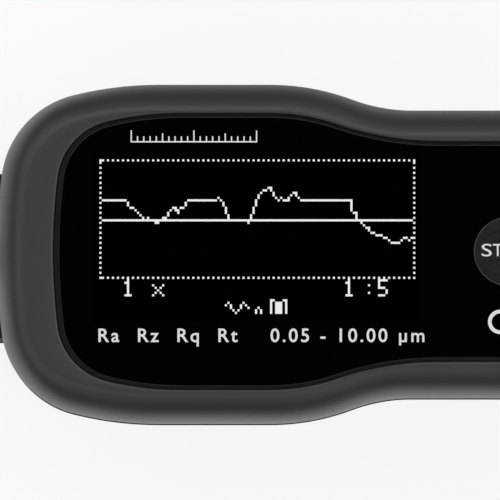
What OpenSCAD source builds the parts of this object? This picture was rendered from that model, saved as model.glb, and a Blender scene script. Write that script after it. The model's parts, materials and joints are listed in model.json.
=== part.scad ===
// Portable surface roughness tester: a lofted two-part housing with a display head and a waist,
// a lead-screw traverse inside it and a skidded stylus pickup in front of its nose.
// The sole rests on z = 0, the pickup points along -X and the panel faces +Z.

/* [Housing outline] */
// Length of the housing without the nose
body_l = 140; // [139:0.5:146]
// Width across the display head
head_w = 57; // [56:0.5:62]
// Width across the waist
waist_w = 48.3; // [47.5:0.1:52]
// Height from the sole to the rim
body_h = 48; // [47:0.5:54]
// Radius of the arc across each end
end_r = 100; // [80:5:130]
// Radius of the head's corners
corner_r = 16; // [14:0.5:17]
// Radius of the shoulders behind the corners
shoulder_r = 60; // [54:1:66]
// Angle that each shoulder turns through
shoulder_turn = 14; // [11:1:17]
// Distance from the display end to the start of the waist curve
waist_x = 46; // [42:0.5:50]
// Radius of the round half of the waist curve
waist_out_r = 40; // [34:1:48]
// Radius of the hollow half of the waist curve
waist_in_r = 28.8; // [24:0.4:36]
// Radius of the tail's corners
tail_r = 16; // [14:0.5:18]

/* [Shells] */
// Height of the parting plane between the shells
parting_z = 26; // [25:0.5:30]
// Wall thickness of both shells
wall = 2.2; // [2:0.1:2.5]
// Thickness of the bottom shell's floor
floor_t = 1.6; // [1.4:0.1:1.8]
// Thickness of the deck under the panel
deck_t = 2; // [1.6:0.1:2.4]
// Width of the rounding under the rim
rim_round_w = 5; // [4:0.1:5.2]
// Height of the rounding under the rim
rim_round_h = 13; // [10:0.5:15]
// Height of the tongue on the bottom shell
tongue_h = 1.3; // [1:0.1:2]
// Thickness of the tongue
tongue_t = 1; // [0.8:0.1:1.1]
// Width of the rounding at the sole's edge
sole_round_w = 2.4; // [1.8:0.1:3]
// Height of the rounding at the sole's edge
sole_round_h = 3; // [2:0.1:3.6]
// Inset of the bottom shell's side above that rounding
side_draft = 0.4; // [0.2:0.1:1]
// Inset of the bottom shell's side at the parting plane
seam_step = 0.3; // [0.2:0.05:0.5]
// Chamfer along both edges of the seam
seam_chamfer = 0.25; // [0.1:0.05:0.4]
// Radius of the screw posts in both shells
post_r = 3; // [2.8:0.1:3.1]
// Height at which the screw posts of the two shells meet
post_z = 20; // [18:0.5:22]
// Distance of the front posts from the display end
front_post_x = 9; // [8.8:0.1:9.2]
// Distance of the front posts from the head's sides
front_post_y = 11.5; // [11.2:0.1:11.6]
// Distance of the rear posts from the tail
rear_post_x = 10; // [9.5:0.1:10.5]
// Distance of the rear posts from the waist's sides
rear_post_y = 10.2; // [9.5:0.1:11]

/* [Front panel] */
// Distance of the panel from the display end
panel_end_gap = 10.8; // [10:0.1:11.4]
// Distance of the panel from the tail
panel_tail_gap = 11; // [9:0.5:14]
// Distance of the panel from the head's sides
panel_side_gap = 6.1; // [6:0.1:7]
// Distance of the panel from the waist's sides
panel_waist_gap = 6.45; // [6.2:0.05:7]
// Radius of the arc across the panel's ends
panel_end_r = 100; // [80:5:140]
// Radius of the panel's head corners
panel_corner_r = 10; // [9:0.2:11]
// Radius of the panel's shoulders
panel_shoulder_r = 50; // [45:1:55]
// Radius of the panel's tail corners
panel_tail_r = 10; // [8:0.5:12]
// Thickness of the panel
panel_t = 1.2; // [1:0.1:1.6]
// Depth of the panel's face below the rim
panel_drop = 0.6; // [0.4:0.1:1]
// Width of the seal beside the panel
seal_w = 0.65; // [0.5:0.05:0.8]
// Extra width of the seal at the display end
seal_end_extra = 0.35; // [0.1:0.05:0.5]
// Height of the seal
seal_h = 1; // [0.8:0.1:1.2]

/* [Display and keys] */
// Distance of the display window from the display end
window_x = 16; // [15.6:0.1:16.4]
// Length of the display window
window_l = 55.6; // [53:0.2:56]
// Width of the display window
window_w = 28.4; // [27:0.2:29]
// Height of the window's middle line above the panel's
window_y = 2.2; // [1.8:0.1:2.6]
// Width of the display frame round the window
display_border = 3.2; // [2.6:0.1:3.2]
// Thickness of the display glass
glass_t = 2.2; // [1.8:0.1:2.6]
// Thickness of the display frame's sides
display_side_t = 0.8; // [0.6:0.1:1]
// Distance of the START key from the display end
key_x = 86; // [85:0.5:87]
// Offset of the START key from the middle line
key_y = 0; // [-0.5:0.1:0.5]
// Radius of the START key
key_r = 5.8; // [5.2:0.1:6]
// Travel of the START key
key_travel = 0.6; // [0.4:0.1:0.7]
// Clearance round the START key
key_gap = 0.2; // [0.15:0.05:0.3]
// Width of the START key's flange
key_flange_w = 0.9; // [0.7:0.1:1.1]
// Thickness of the START key's flange
key_flange_t = 1.2; // [0.9:0.1:1.3]
// Radius of the START switch's plunger
plunger_r = 1.6; // [1.3:0.1:1.8]
// Side of the small switches under the membrane keys
switch_w = 6; // [5:0.2:6.4]
// Height of the small switches without their stems
switch_h = 3.3; // [2.8:0.1:3.5]

/* [Boards and battery] */
// Gap between the deck and the main board
board_drop = 4.6; // [4.5:0.1:5.4]
// Thickness of the boards
board_t = 1.6; // [1.2:0.1:2]
// Length of the battery pack
battery_l = 19.5; // [16:0.5:20.5]
// Width of the battery pack
battery_w = 34; // [28:0.5:36]
// Height of the battery pack
battery_h = 20; // [16:0.5:22]
// Distance of the battery pack from the tail
battery_x = 14.5; // [14:0.1:15]
// Width of the port socket
port_w = 7.7; // [7:0.1:8.4]
// Height of the port socket
port_h = 2.8; // [2.4:0.1:3.2]
// Height of the port board above the sole
port_z = 15; // [12:0.5:18]

/* [Nose and traverse] */
// Length of the nose in front of the housing
nose_out = 4; // [3:0.1:6]
// Depth of the nose inside the housing
nose_in = 7.8; // [7.6:0.1:8]
// Reach of the nose past the drive frame on each side
nose_lap = 0.25; // [0.1:0.05:0.3]
// Top of the nose above the sole
nose_top = 23.5; // [22.5:0.1:23.8]
// Wall thickness of the nose
nose_wall = 2; // [1.6:0.1:2.4]
// Radius of the nose's front edges
nose_edge_r = 4; // [2:0.2:5]
// Height of the pickup's axis above the sole
pickup_z = 6.5; // [6.4:0.1:7]
// Height of the lead screw above the pickup's axis
screw_rise = 9; // [8.6:0.1:9.2]
// Height of the guide rods above the pickup's axis
rod_rise = 4.5; // [4:0.1:5.5]
// Distance of the guide rods from the carriage's sides
rod_edge = 3.3; // [3.2:0.1:3.5]
// Radius of the guide rods
rod_r = 1.5; // [1.2:0.1:1.6]
// Radius of the lead screw
screw_r = 2; // [1.8:0.1:2.2]
// Travel of the carriage
stroke = 17.5; // [12:0.5:17.5]
// Length of the carriage
carriage_l = 20; // [18:0.5:20.5]
// Distance of the drive frame from the head's sides
frame_side_gap = 14.7; // [14.6:0.1:15]
// Height of the drive frame's walls
frame_h = 20.4; // [20:0.1:21.5]
// Thickness of the drive frame's bearing walls
frame_wall = 3; // [2.5:0.1:3.2]
// Thickness of the drive frame's side rails
rail_t = 1.8; // [1.4:0.1:1.9]
// Module of the gears
gear_module = 0.5; // [0.45:0.05:0.5]
// Teeth on the screw gear
gear_teeth = 24; // [24:12:24]
// Teeth on the motor pinion
pinion_teeth = 12; // [12:2:12]
// Width of the gears
gear_t = 3.4; // [2.6:0.1:3.6]
// Radius of the gearmotor
motor_r = 6; // [5.4:0.1:6.2]
// Length of the gearmotor
motor_l = 25; // [22:0.5:25.5]

/* [Pickup] */
// Length of the pickup tube in front of the nose
pickup_out = 18; // [17.6:0.1:24]
// Radius of the pickup tube
tube_r = 3; // [2.9:0.1:3.1]
// Radius of the pickup tube's bore
tube_bore_r = 2.4; // [2.3:0.05:2.5]
// Length of the pickup's nose in front of its tube
pickup_nose_l = 13.5; // [12.5:0.5:16]
// Distance from the pickup tube to the stylus
stylus_reach = 8.5; // [8:0.1:9]
// Distance from the pickup tube's mouth to the stylus pivot
pivot_depth = 6; // [5:0.1:8]
// Radius of the skid along the traverse
skid_curve_r = 45; // [30:1:60]
// Length of the skid
skid_l = 7.2; // [6:0.1:7.6]
// Width of the skid
skid_w = 3.2; // [2.6:0.1:3.4]
// Radius of the stylus arm's pivot pin
pivot_r = 0.5; // [0.4:0.05:0.6]
// Thickness of the stylus arm
arm_t = 0.8; // [0.6:0.05:0.9]

/* [Fasteners] */
// Radius of the housing screws
housing_screw_r = 1.2; // [1:0.05:1.3]
// Radius of the nose, frame and motor screws
small_screw_r = 1; // [0.8:0.05:1.1]
// Radius of the board screws
board_screw_r = 0.8; // [0.6:0.05:0.9]
// Bore radius of the stand insert
insert_bore_r = 2.5; // [2:0.1:3]
// Outer radius of the stand insert
insert_r = 4; // [3.6:0.1:4.2]
// Length of the stand insert
insert_l = 8; // [6:0.5:9]

/* [Hidden] */
$fn = 48;

// Segments on each stretch of the outline
end_n = 3;
corner_n = 12;
shoulder_n = 5;
waist_n = 6;
rim_n = 8;
sole_n = 3;
edge_n = 5;

// Clearances: cutting overshoot, light fit, loose fit, running fit of a shaft, running gap of a slide
cut = 1;
fit = 0.02;
loose = 0.1;
run = 0.02;
slide_gap = 0.7;
// Depth that one moulded feature roots in another
root = 0.6;

// Ends and levels of the housing
x_l = -body_l / 2;
x_r = body_l / 2;
panel_z1 = body_h - panel_drop;
deck_z1 = panel_z1 - panel_t;
deck_z0 = deck_z1 - deck_t;
rim_z0 = body_h - rim_round_h;
tongue_z1 = parting_z + tongue_h;
groove_gap = 0.15;
groove_z1 = tongue_z1 + groove_gap;
seal_z1 = deck_z1 + seal_h;
lip_t = wall - tongue_t - loose;

// Outlines: ends, half widths, end, corner and shoulder radii, shoulder angle, waist radii, waist start, tail
body_o = [x_l, x_r, head_w / 2, waist_w / 2, end_r, corner_r, shoulder_r, shoulder_turn,
    waist_out_r, waist_in_r, x_l + waist_x, tail_r, end_r];
panel_o = [x_l + panel_end_gap, x_r - panel_tail_gap, head_w / 2 - panel_side_gap,
    waist_w / 2 - panel_waist_gap, panel_end_r, panel_corner_r, panel_shoulder_r, shoulder_turn,
    waist_out_r - panel_side_gap, waist_in_r + panel_side_gap, x_l + waist_x, panel_tail_r, panel_end_r];
seal_gap = 0.05;
recess_w = seal_w + 2 * seal_gap;
recess_o = [for (i = [0:len(panel_o) - 1]) panel_o[i] - (i == 0 ? seal_end_extra : 0)];
seal_edge = 0.2;

// Screw posts of the shells
posts = [for (s = [-1, 1]) each [[x_l + front_post_x, s * (head_w / 2 - front_post_y)],
    [x_r - rear_post_x, s * (waist_w / 2 - rear_post_y)]]];
post_counter_z = 14;
housing_head_r = 2.2;
housing_head_h = 1.6;
housing_bite = 12;

// Display, keys and boards
display_x0 = x_l + window_x - display_border;
display_l = window_l + 2 * display_border;
display_w = window_w + 2 * display_border;
display_x1 = display_x0 + display_l;
display_y0 = window_y - display_w / 2;
display_y1 = window_y + display_w / 2;
display_shelf_t = 1;
board_z1 = deck_z0 - board_drop;
board_z0 = board_z1 - board_t;
display_z1 = deck_z0 - loose;
start_at = [x_l + key_x, key_y];
flange_z1 = deck_z0 - 0.05;
flange_z0 = flange_z1 - key_flange_t;
switch_floor_z = board_z1 + 0.4;
plunger_z0 = switch_floor_z + key_travel + 0.1;
plunger_z1 = plunger_z0 + 0.9;
start_switch_z1 = board_z1 + 1.4;
start_switch_w = 7;
switch_edge_r = 0.6;
stem_r = 2;
key_edge = 0.5;
key_dome = 0.25;
ring_key_x = 84.6;
ring_key_y = -11.8;
ring_key_at = [x_l + ring_key_x, ring_key_y];
side_key_x = 18;
side_key_y = 9;
membrane_keys = [ring_key_at, for (s = [-1, 1]) [start_at[0] + side_key_x, s * side_key_y]];
membrane_stem_r = 1.6;
board_x0 = display_x0;
board_head_l = 44.2;
board_l = 103;
board_head_gap = 7;
board_waist_gap = 6.65;
board_head_y = head_w / 2 - board_head_gap;
board_waist_y = waist_w / 2 - board_waist_gap;
head_post_y = 9.7;
tail_post_y = 11.2;
head_post_xs = [18, 64];
tail_post_x = 112;
board_posts = [for (x = head_post_xs) [x_l + x, head_post_y - head_w / 2],
    for (s = [-1, 1]) [x_l + tail_post_x, s * (waist_w / 2 - tail_post_y)]];
board_post_r = 2.6;
board_head_h = 1;
board_head_r = 1.6;
board_bite = 3;

// Battery, port and stand insert
battery_x1 = x_r - battery_x;
battery_x0 = battery_x1 - battery_l;
battery_edge_r = 5;
rib_t = 1.2;
rib_h = 6;
port_board_l = 9;
port_board_end = 4;
port_x1 = x_r - port_board_end;
port_x0 = port_x1 - port_board_l;
port_board_w = 17;
port_board_t = 1.2;
port_wall_t = 0.4;
port_depth = 5;
port_mouth = 0.95;
port_socket_l = 8;
port_gap = 0.25;
port_post_in = 2.5;
port_post_x = port_x0 + port_post_in;
port_post_y = 6;
port_post_r = 2.2;
port_bite = 6;

// Nose and traverse along X
nose_x0 = x_l - nose_out;
nose_x1 = x_l + nose_in;
frame_half_w = head_w / 2 - frame_side_gap;
nose_w = 2 * (frame_half_w + nose_lap);
nose_gap = 0.15;
nose_z0 = 0.2;
nose_top_r = 2.3;
nose_screw_in = 3.8;
nose_screw_y = frame_half_w - nose_screw_in;
nose_screw_rise = 11.5;
nose_screw_z = pickup_z + nose_screw_rise;
nose_boss_r = 2.5;
nose_counter = 1;
pickup_hole_r = tube_r + slide_gap;
frame_x0 = nose_x1 + 0.7;
front_wall_x1 = frame_x0 + frame_wall;
carriage_x0 = front_wall_x1 + 2.5;
carriage_x1 = carriage_x0 + carriage_l;
rear_wall_x0 = carriage_x1 + stroke + 4.5;
rear_wall_x1 = rear_wall_x0 + frame_wall;
gear_x0 = rear_wall_x1 + 0.6;
gear_x1 = gear_x0 + gear_t;
motor_wall_x0 = gear_x1 + 2;
motor_wall_t = 2;
motor_x0 = motor_wall_x0 + motor_wall_t;
motor_x1 = motor_x0 + motor_l;
insert_x = motor_x1 + 6;
insert_post_r = insert_r + 1.2;

// Traverse levels
screw_z = pickup_z + screw_rise;
rod_z = pickup_z + rod_rise;
motor_y = gear_module * (gear_teeth + pinion_teeth) / 2;
frame_z0 = floor_t + 0.4;
frame_z1 = frame_z0 + frame_h;
rail_h = 4;
ear_t = 2;
ear_l = 7;
ear_w = 6;
ear_hole_out = 3.2;
ear_z1 = frame_z0 + rail_h;
ear_z0 = ear_z1 - ear_t;
ear_y = frame_half_w + ear_hole_out;
ear_xs = [frame_x0 + 10, rear_wall_x0 - 4];
ear_post_r = 2.8;
frame_bite = 1.9;
rail_gap = 0.5;
carriage_half_w = frame_half_w - rail_t - rail_gap;
rod_y = carriage_half_w - rod_edge;
carriage_z0 = floor_t + slide_gap;
carriage_shelf_z = rod_z + 3.6;
carriage_z1 = screw_z + 5.4;
saddle_half_w = 7;
bushing_r = rod_r + 0.9;
bushing_l = 5;
nut_r = 4;
nut_l = 10;
nut_flange_r = 5.2;
nut_flange_t = 1.5;
front_journal_r = 1.25;
rear_journal_r = 1.5;
front_bearing_r = 2.5;
rear_bearing_r = 3;
rod_seat = 2;
motor_shaft_r = 1.5;
shaft_seat = 5;
gearbox_l = 9;
motor_flat = 10;
motor_boss_r = 2;
motor_boss_l = 1.2;
motor_screw_out = 4.2;
small_head_r = 1.9;
small_head_h = 1.2;
motor_head_r = 1.4;
motor_bite = 3;
sensor_board_in = 2.8;
sensor_board_half_w = frame_half_w - sensor_board_in;
sensor_screw_in = 5;
sensor_screw_y = sensor_board_half_w - sensor_screw_in;
chip_h = 1.2;

// Pickup along X, at rest with the carriage forward
tube_x0 = nose_x0 - pickup_out;
socket_depth = 6;
tube_x1 = carriage_x0 + socket_depth;
socket_l = 6;
socket_x0 = tube_x1 + loose;
socket_x1 = socket_x0 + socket_l;
plug_l = 4;
pin_r = 0.3;
pin_ring_r = 1.2;
pin_seat = 2;
pin_l = 5.4;
bore_fit = 0.04;
pickup_nose_r = tube_bore_r;
pickup_nose_seat = 3;
pickup_nose_bore_r = 1.4;
pickup_nose_round = 1.2;
stylus_x = tube_x0 - stylus_reach;
skid_z0 = 0.12;
skid_z1 = pickup_z - 1.8;
skid_foot_l = 4.6;
stylus_hole_r = 0.75;
pivot_x = tube_x0 + pivot_depth;
pivot_l = 2 * tube_r - 0.1;
hub_r = 1;
arm_front = 0.7;
core_gap = 8;
core_l = 3;
core_r = 0.8;
coil_l = 6;
coil_bore_r = 1.25;
tip_r = 0.35;
tip_cone_h = 0.7;
tip_point_r = 0.03;
tip_z0 = 0.05;

// Points on an arc; the angle runs from the -X side over +Y to the +X side
function arc_pts(c, r, a0, a1, n, first) =
    [for (i = [first:n]) let (a = a0 + (a1 - a0) * i / n) c + r * [-cos(a), sin(a)]];

// Upper half of a peanut outline, inset by d: end arc, corner, shoulder, waist curve, tail corner, tail
function half_outline(o, d) =
    let (
        end_turn = asin((o[2] - o[6] + (o[6] - o[5]) * cos(o[7])) / (o[4] - o[5])),
        end_c = [o[0] + o[4], 0],
        corner_c = end_c + (o[4] - o[5]) * [-cos(end_turn), sin(end_turn)],
        shoulder_c = corner_c + (o[5] - o[6]) * [-sin(o[7]), cos(o[7])],
        waist_turn = acos(1 - (o[2] - o[3]) / (o[8] + o[9])),
        out_c = [o[10], o[2] - o[8]],
        in_c = out_c + (o[8] + o[9]) * [sin(waist_turn), cos(waist_turn)],
        tail_turn = asin((o[3] - o[11]) / (o[12] - o[11])),
        tail_end_c = [o[1] - o[12], 0],
        tail_c = tail_end_c + (o[12] - o[11]) * [cos(tail_turn), sin(tail_turn)]
    )
    concat(
        arc_pts(end_c, o[4] - d, 0, end_turn, end_n, 0),
        arc_pts(corner_c, o[5] - d, end_turn, 90 - o[7], corner_n, 1),
        arc_pts(shoulder_c, o[6] - d, 90 - o[7], 90, shoulder_n, 1),
        arc_pts(out_c, o[8] - d, 90, 90 + waist_turn, waist_n, 0),
        arc_pts(in_c, -(o[9] + d), 90 + waist_turn, 90, waist_n, 1),
        arc_pts(tail_c, o[11] - d, 90, 180 - tail_turn, corner_n, 0),
        arc_pts(tail_end_c, o[12] - d, 180 - tail_turn, 180, end_n, 1)
    );

// Whole outline at height z, starting at the middle of the display end
function ring(o, d, z) =
    let (h = half_outline(o, d), n = len(h))
    [for (i = [0:2 * n - 3]) i < n ? [h[i][0], h[i][1], z] : [h[2 * n - 2 - i][0], -h[2 * n - 2 - i][1], z]];

// Skin through rings of equal length, closed by caps or back onto the first ring
module loft(rings, looped = false) {
    n = len(rings[0]);
    m = len(rings);
    sides = [for (k = [0:looped ? m - 1 : m - 2], i = [0:n - 1])
        let (a = k * n, b = ((k + 1) % m) * n, j = (i + 1) % n)
        each [[a + i, a + j, b + j], [a + i, b + j, b + i]]];
    first_cap = concat([0], [for (i = [n - 1:-1:1]) i]);
    last_cap = [for (i = [0:n - 1]) (m - 1) * n + i];
    polyhedron([for (r = rings) each r], looped ? sides : concat(sides, [first_cap, last_cap]));
}

// Inset of the top shell's outside at height z
function rim_inset(z) =
    z <= rim_z0 ? 0 : rim_round_w * (1 - sqrt(1 - pow((z - rim_z0) / rim_round_h, 2)));

// Points of a rectangle with rounded corners, centred on the origin
function rounded_pts(w, h, r) =
    [for (q = [0:3], i = [0:edge_n])
        let (a = 90 * (q + i / edge_n), sx = [1, -1, -1, 1][q], sy = [1, 1, -1, -1][q])
        [sx * (w / 2 - r) + r * cos(a), sy * (h / 2 - r) + r * sin(a)]];

// Points of a spur gear with straight tooth flanks
tip_share = 0.1;
root_share = 0.36;
function gear_pts(teeth) =
    let (pitch = 360 / teeth, tip = gear_module * (teeth / 2 + 1), base = gear_module * (teeth / 2 - 1.25))
    [for (i = [0:teeth - 1],
        k = [[base, -root_share], [tip, -tip_share], [tip, tip_share], [base, root_share]])
        k[0] * [cos(pitch * (i + k[1])), sin(pitch * (i + k[1]))]];

// Box between two corners
module block(from, to) {
    translate(from) cube(to - from);
}

// Round bar along X, and a plain drilling along Z
module bar_x(r, x0, x1, y, z) {
    translate([x0, y, z]) rotate([0, 90, 0]) cylinder(r = r, h = x1 - x0);
}

module bar_z(r, at, z0, z1) {
    translate([at[0], at[1], z0]) cylinder(r = r, h = z1 - z0);
}

// Cap screw along +Z from under its head, with a hexagon socket
module screw(r, l, head_r, head_h) {
    difference() {
        union() {
            translate([0, 0, -head_h / 2]) cylinder(r = r, h = l + head_h / 2);
            translate([0, 0, -head_h]) cylinder(r = head_r, h = head_h);
        }
        translate([0, 0, -head_h - cut]) cylinder(r = head_r / 2, h = cut + head_h / 2, $fn = 6);
    }
}

// Prism of a rounded rectangle in the YZ plane between x0 and x1, standing on z0
module rounded_bar(x0, x1, w, z0, z1, r) {
    translate([x0, 0, (z0 + z1) / 2]) rotate([90, 0, 90]) linear_extrude(x1 - x0)
        polygon(rounded_pts(w, z1 - z0, r));
}

module top_shell() {
    inner_zs = [deck_z0, (2 * deck_z0 + rim_z0) / 3, (deck_z0 + 8 * rim_z0) / 9];
    color("#3d3f42") difference() {
        union() {
            loft(concat(
                [for (z = inner_zs) ring(body_o, rim_inset(z) + wall, z)],
                [for (p = [[wall, groove_z1], [lip_t, groove_z1], [lip_t, parting_z],
                    [seam_chamfer, parting_z], [0, parting_z + seam_chamfer], [0, rim_z0]])
                    ring(body_o, p[0], p[1])],
                [for (i = [1:rim_n]) let (a = 90 * i / rim_n)
                    ring(body_o, rim_round_w * (1 - cos(a)), rim_z0 + rim_round_h * sin(a))],
                [ring(recess_o, -recess_w, body_h), ring(recess_o, -recess_w, deck_z1)]));
            for (p = posts) bar_z(post_r, p, post_z + loose, deck_z0 + root);
            for (p = board_posts) bar_z(board_post_r, p, board_z1, deck_z0 + root);
        }
        block([x_l + window_x, window_y - window_w / 2, deck_z0 - cut],
            [x_l + window_x + window_l, window_y + window_w / 2, deck_z1 + cut]);
        bar_z(key_r + key_gap, start_at, deck_z0 - cut, deck_z1 + cut);
        for (p = membrane_keys) bar_z(membrane_stem_r + 2 * key_gap, p, deck_z0 - cut, deck_z1 + cut);
        for (p = posts) bar_z(housing_screw_r + fit, p, post_z - cut, post_z + housing_bite + cut);
        for (p = board_posts) bar_z(board_screw_r + fit, p, board_z1 - cut, board_z1 + board_bite + root);
    }
}

module bottom_shell() {
    floor_edge = side_draft + sole_round_w;
    tongue_chamfer = 0.15;
    port_at = port_z + port_board_t + port_h / 2;
    color("#1b1c1e") difference() {
        union() {
            loft([for (p = concat(
                [for (i = [0:sole_n]) let (a = 90 * i / sole_n)
                    [side_draft + sole_round_w * (1 - sin(a)), sole_round_h * (1 - cos(a))]],
                [[seam_step, parting_z - seam_chamfer], [seam_step + seam_chamfer, parting_z],
                    [wall - tongue_t, parting_z], [wall - tongue_t, tongue_z1 - tongue_chamfer],
                    [wall - tongue_t + tongue_chamfer, tongue_z1], [wall - tongue_chamfer, tongue_z1],
                    [wall, tongue_z1 - tongue_chamfer], [side_draft + wall, sole_round_h + 1],
                    [side_draft + wall + 1, floor_t + root], [floor_edge + wall - 0.4, floor_t]]))
                ring(body_o, p[0], p[1])]);
            for (p = posts) bar_z(post_r, p, floor_t - root, post_z);
            for (x = ear_xs, s = [-1, 1]) bar_z(ear_post_r, [x, s * ear_y], floor_t - root, ear_z0);
            for (s = [-1, 1]) bar_z(port_post_r, [port_post_x, s * port_post_y], floor_t - root, port_z);
            for (s = [0, 1]) mirror([0, s, 0])
                block([battery_x0 + 2, battery_w / 2 + loose, floor_t - root],
                    [battery_x1 - 2, battery_w / 2 + loose + rib_t, floor_t + rib_h]);
            bar_z(insert_post_r, [insert_x, 0], floor_t - root, insert_l + 1);
        }
        rounded_bar(x_l - cut, nose_x1 + nose_gap, nose_w + 2 * nose_gap,
            -nose_top, nose_top + nose_gap, nose_top_r + nose_gap);
        for (p = posts) {
            bar_z(housing_head_r + 2 * loose, p, -cut, post_counter_z);
            bar_z(housing_screw_r + loose, p, 0, post_z + cut);
        }
        for (x = ear_xs, s = [-1, 1])
            bar_z(small_screw_r + fit, [x, s * ear_y], ear_z0 - frame_bite - loose, ear_z0 + cut);
        for (s = [-1, 1])
            bar_z(board_screw_r + fit, [port_post_x, s * port_post_y],
                port_z - port_bite - loose, port_z + cut);
        bar_z(insert_r + fit, [insert_x, 0], -cut, insert_l);
        rounded_bar(x_r - wall - cut - 1, x_r + cut, port_w + 2 * port_gap,
            port_at - port_h / 2 - port_gap, port_at + port_h / 2 + port_gap, 0.8);
    }
}

module nose_cap() {
    nose_l = nose_x1 - nose_x0;
    color("#111213") difference() {
        union() {
            difference() {
                intersection() {
                    translate([nose_x0 + nose_l / 2 + nose_edge_r / 2, 0, nose_z0]) linear_extrude(nose_top)
                        polygon(rounded_pts(nose_l + nose_edge_r, nose_w, nose_edge_r));
                    rounded_bar(nose_x0 - cut, nose_x1, nose_w, nose_z0 - nose_top, nose_top, nose_top_r);
                    block([nose_x0 - cut, -nose_w, nose_z0], [nose_x1, nose_w, nose_top]);
                }
                block([nose_x0 + nose_wall, -nose_w / 2 + nose_wall, nose_z0 + nose_wall],
                    [nose_x1 + cut, nose_w / 2 - nose_wall, nose_top - nose_wall]);
            }
            for (s = [-1, 1])
                bar_x(nose_boss_r, nose_x0 + nose_wall - root, frame_x0, s * nose_screw_y, nose_screw_z);
        }
        bar_x(pickup_hole_r, nose_x0 - cut, nose_x0 + nose_wall + cut, 0, pickup_z);
        for (s = [-1, 1]) {
            bar_x(small_head_r + loose, nose_x0 - cut, nose_x0 + small_head_h + nose_counter,
                s * nose_screw_y, nose_screw_z);
            bar_x(small_screw_r + loose, nose_x0, frame_x0 + cut, s * nose_screw_y, nose_screw_z);
        }
    }
}

module front_panel() {
    edge = 0.2;
    color("#0b0b0c") difference() {
        loft([ring(panel_o, 0, deck_z1), ring(panel_o, 0, panel_z1 - edge), ring(panel_o, edge, panel_z1)]);
        bar_z(key_r + key_gap, start_at, deck_z1 - cut, panel_z1 + cut);
    }
}

module panel_seal() {
    color("#18191a") loft([
        ring(panel_o, -seal_gap, deck_z1), ring(recess_o, seal_gap - recess_w, deck_z1),
        ring(recess_o, seal_gap - recess_w, seal_z1 - seal_edge),
        ring(recess_o, seal_gap + seal_edge - recess_w, seal_z1),
        ring(panel_o, -seal_gap - seal_edge, seal_z1), ring(panel_o, -seal_gap, seal_z1 - seal_edge)], true);
}

module housing_screws() {
    color("#8d9094") for (p = posts) translate([p[0], p[1], post_counter_z])
        screw(housing_screw_r, post_z - post_counter_z + housing_bite, housing_head_r, housing_head_h);
}

module stand_insert() {
    color("#b8954a") difference() {
        bar_z(insert_r, [insert_x, 0], 0, insert_l);
        bar_z(insert_bore_r, [insert_x, 0], -cut, insert_l + cut);
    }
}

module start_key() {
    color("#2b2c2e") translate([start_at[0], start_at[1], 0]) rotate_extrude()
        polygon([[0, plunger_z1], [stem_r, plunger_z1], [stem_r, flange_z0],
            [key_r + key_flange_w, flange_z0],
            [key_r + key_flange_w, flange_z1], [key_r, flange_z1], [key_r, body_h - key_edge],
            [key_r - key_edge / 3, body_h - key_edge / 3 - key_dome / 2],
            [key_r - key_edge, body_h - key_dome], [key_r / 2, body_h - key_dome / 4], [0, body_h]]);
}

module switch_plunger() {
    color("#b9babb") bar_z(plunger_r, start_at, plunger_z0, plunger_z1);
}

module start_switch() {
    color("#26282b") difference() {
        translate([start_at[0], start_at[1], board_z1]) linear_extrude(start_switch_z1 - board_z1)
            polygon(rounded_pts(start_switch_w, start_switch_w, switch_edge_r));
        bar_z(plunger_r + loose, start_at, switch_floor_z, start_switch_z1 + cut);
    }
}

module key_switches() {
    color("#2a2c30") for (p = membrane_keys) {
        translate([p[0], p[1], board_z1]) linear_extrude(switch_h)
            polygon(rounded_pts(switch_w, switch_w, switch_edge_r));
        bar_z(membrane_stem_r, p, board_z1 + switch_h - root, deck_z1 - loose / 2);
    }
}

module display_frame() {
    side = display_side_t + loose;
    color("#9b9fa3") difference() {
        block([display_x0, display_y0, board_z1], [display_x1, display_y1, display_z1]);
        block([display_x0 + display_side_t, display_y0 + display_side_t, display_z1 - glass_t - loose],
            [display_x1 - display_side_t, display_y1 - display_side_t, display_z1 + cut]);
        block([display_x0 + 4 * side, display_y0 + 4 * side, board_z1 - cut],
            [display_x1 - 4 * side, display_y1 - 4 * side, display_z1 - glass_t - display_shelf_t]);
    }
}

module display_glass() {
    side = display_side_t + loose;
    color("#101418") block(
        [display_x0 + side, display_y0 + side, display_z1 - glass_t - loose],
        [display_x1 - side, display_y1 - side, display_z1 - loose]);
}

module main_board() {
    // Chips as distance along the board, offset from its middle line and side
    chips = [[17, 4, 14], [39, -6, 10], [85, 0, 9]];
    color("#1f5a38") difference() {
        union() {
            block([board_x0, -board_head_y, board_z0],
                [board_x0 + board_head_l, display_y1, board_z1]);
            block([board_x0, -board_waist_y, board_z0], [board_x0 + board_l, board_waist_y, board_z1]);
            for (c = chips) block([board_x0 + c[0], c[1] - c[2] / 2, board_z0 - chip_h],
                [board_x0 + c[0] + c[2], c[1] + c[2] / 2, board_z0 + root]);
        }
        for (p = board_posts) bar_z(board_screw_r + loose, p, board_z0 - cut, board_z1 + cut);
    }
}

module board_screws() {
    color("#8d9094") for (p = board_posts) translate([p[0], p[1], board_z0])
        screw(board_screw_r, board_t + board_bite, board_head_r, board_head_h);
}

module battery_pack() {
    color("#31506e")
        rounded_bar(battery_x0, battery_x1, battery_w, floor_t, floor_t + battery_h, battery_edge_r);
}

module port_board() {
    color("#1f5a38") difference() {
        block([port_x0, -port_board_w / 2, port_z], [port_x1, port_board_w / 2, port_z + port_board_t]);
        for (s = [-1, 1])
            bar_z(board_screw_r + loose, [port_post_x, s * port_post_y],
                port_z - cut, port_z + port_board_t + cut);
    }
}

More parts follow.
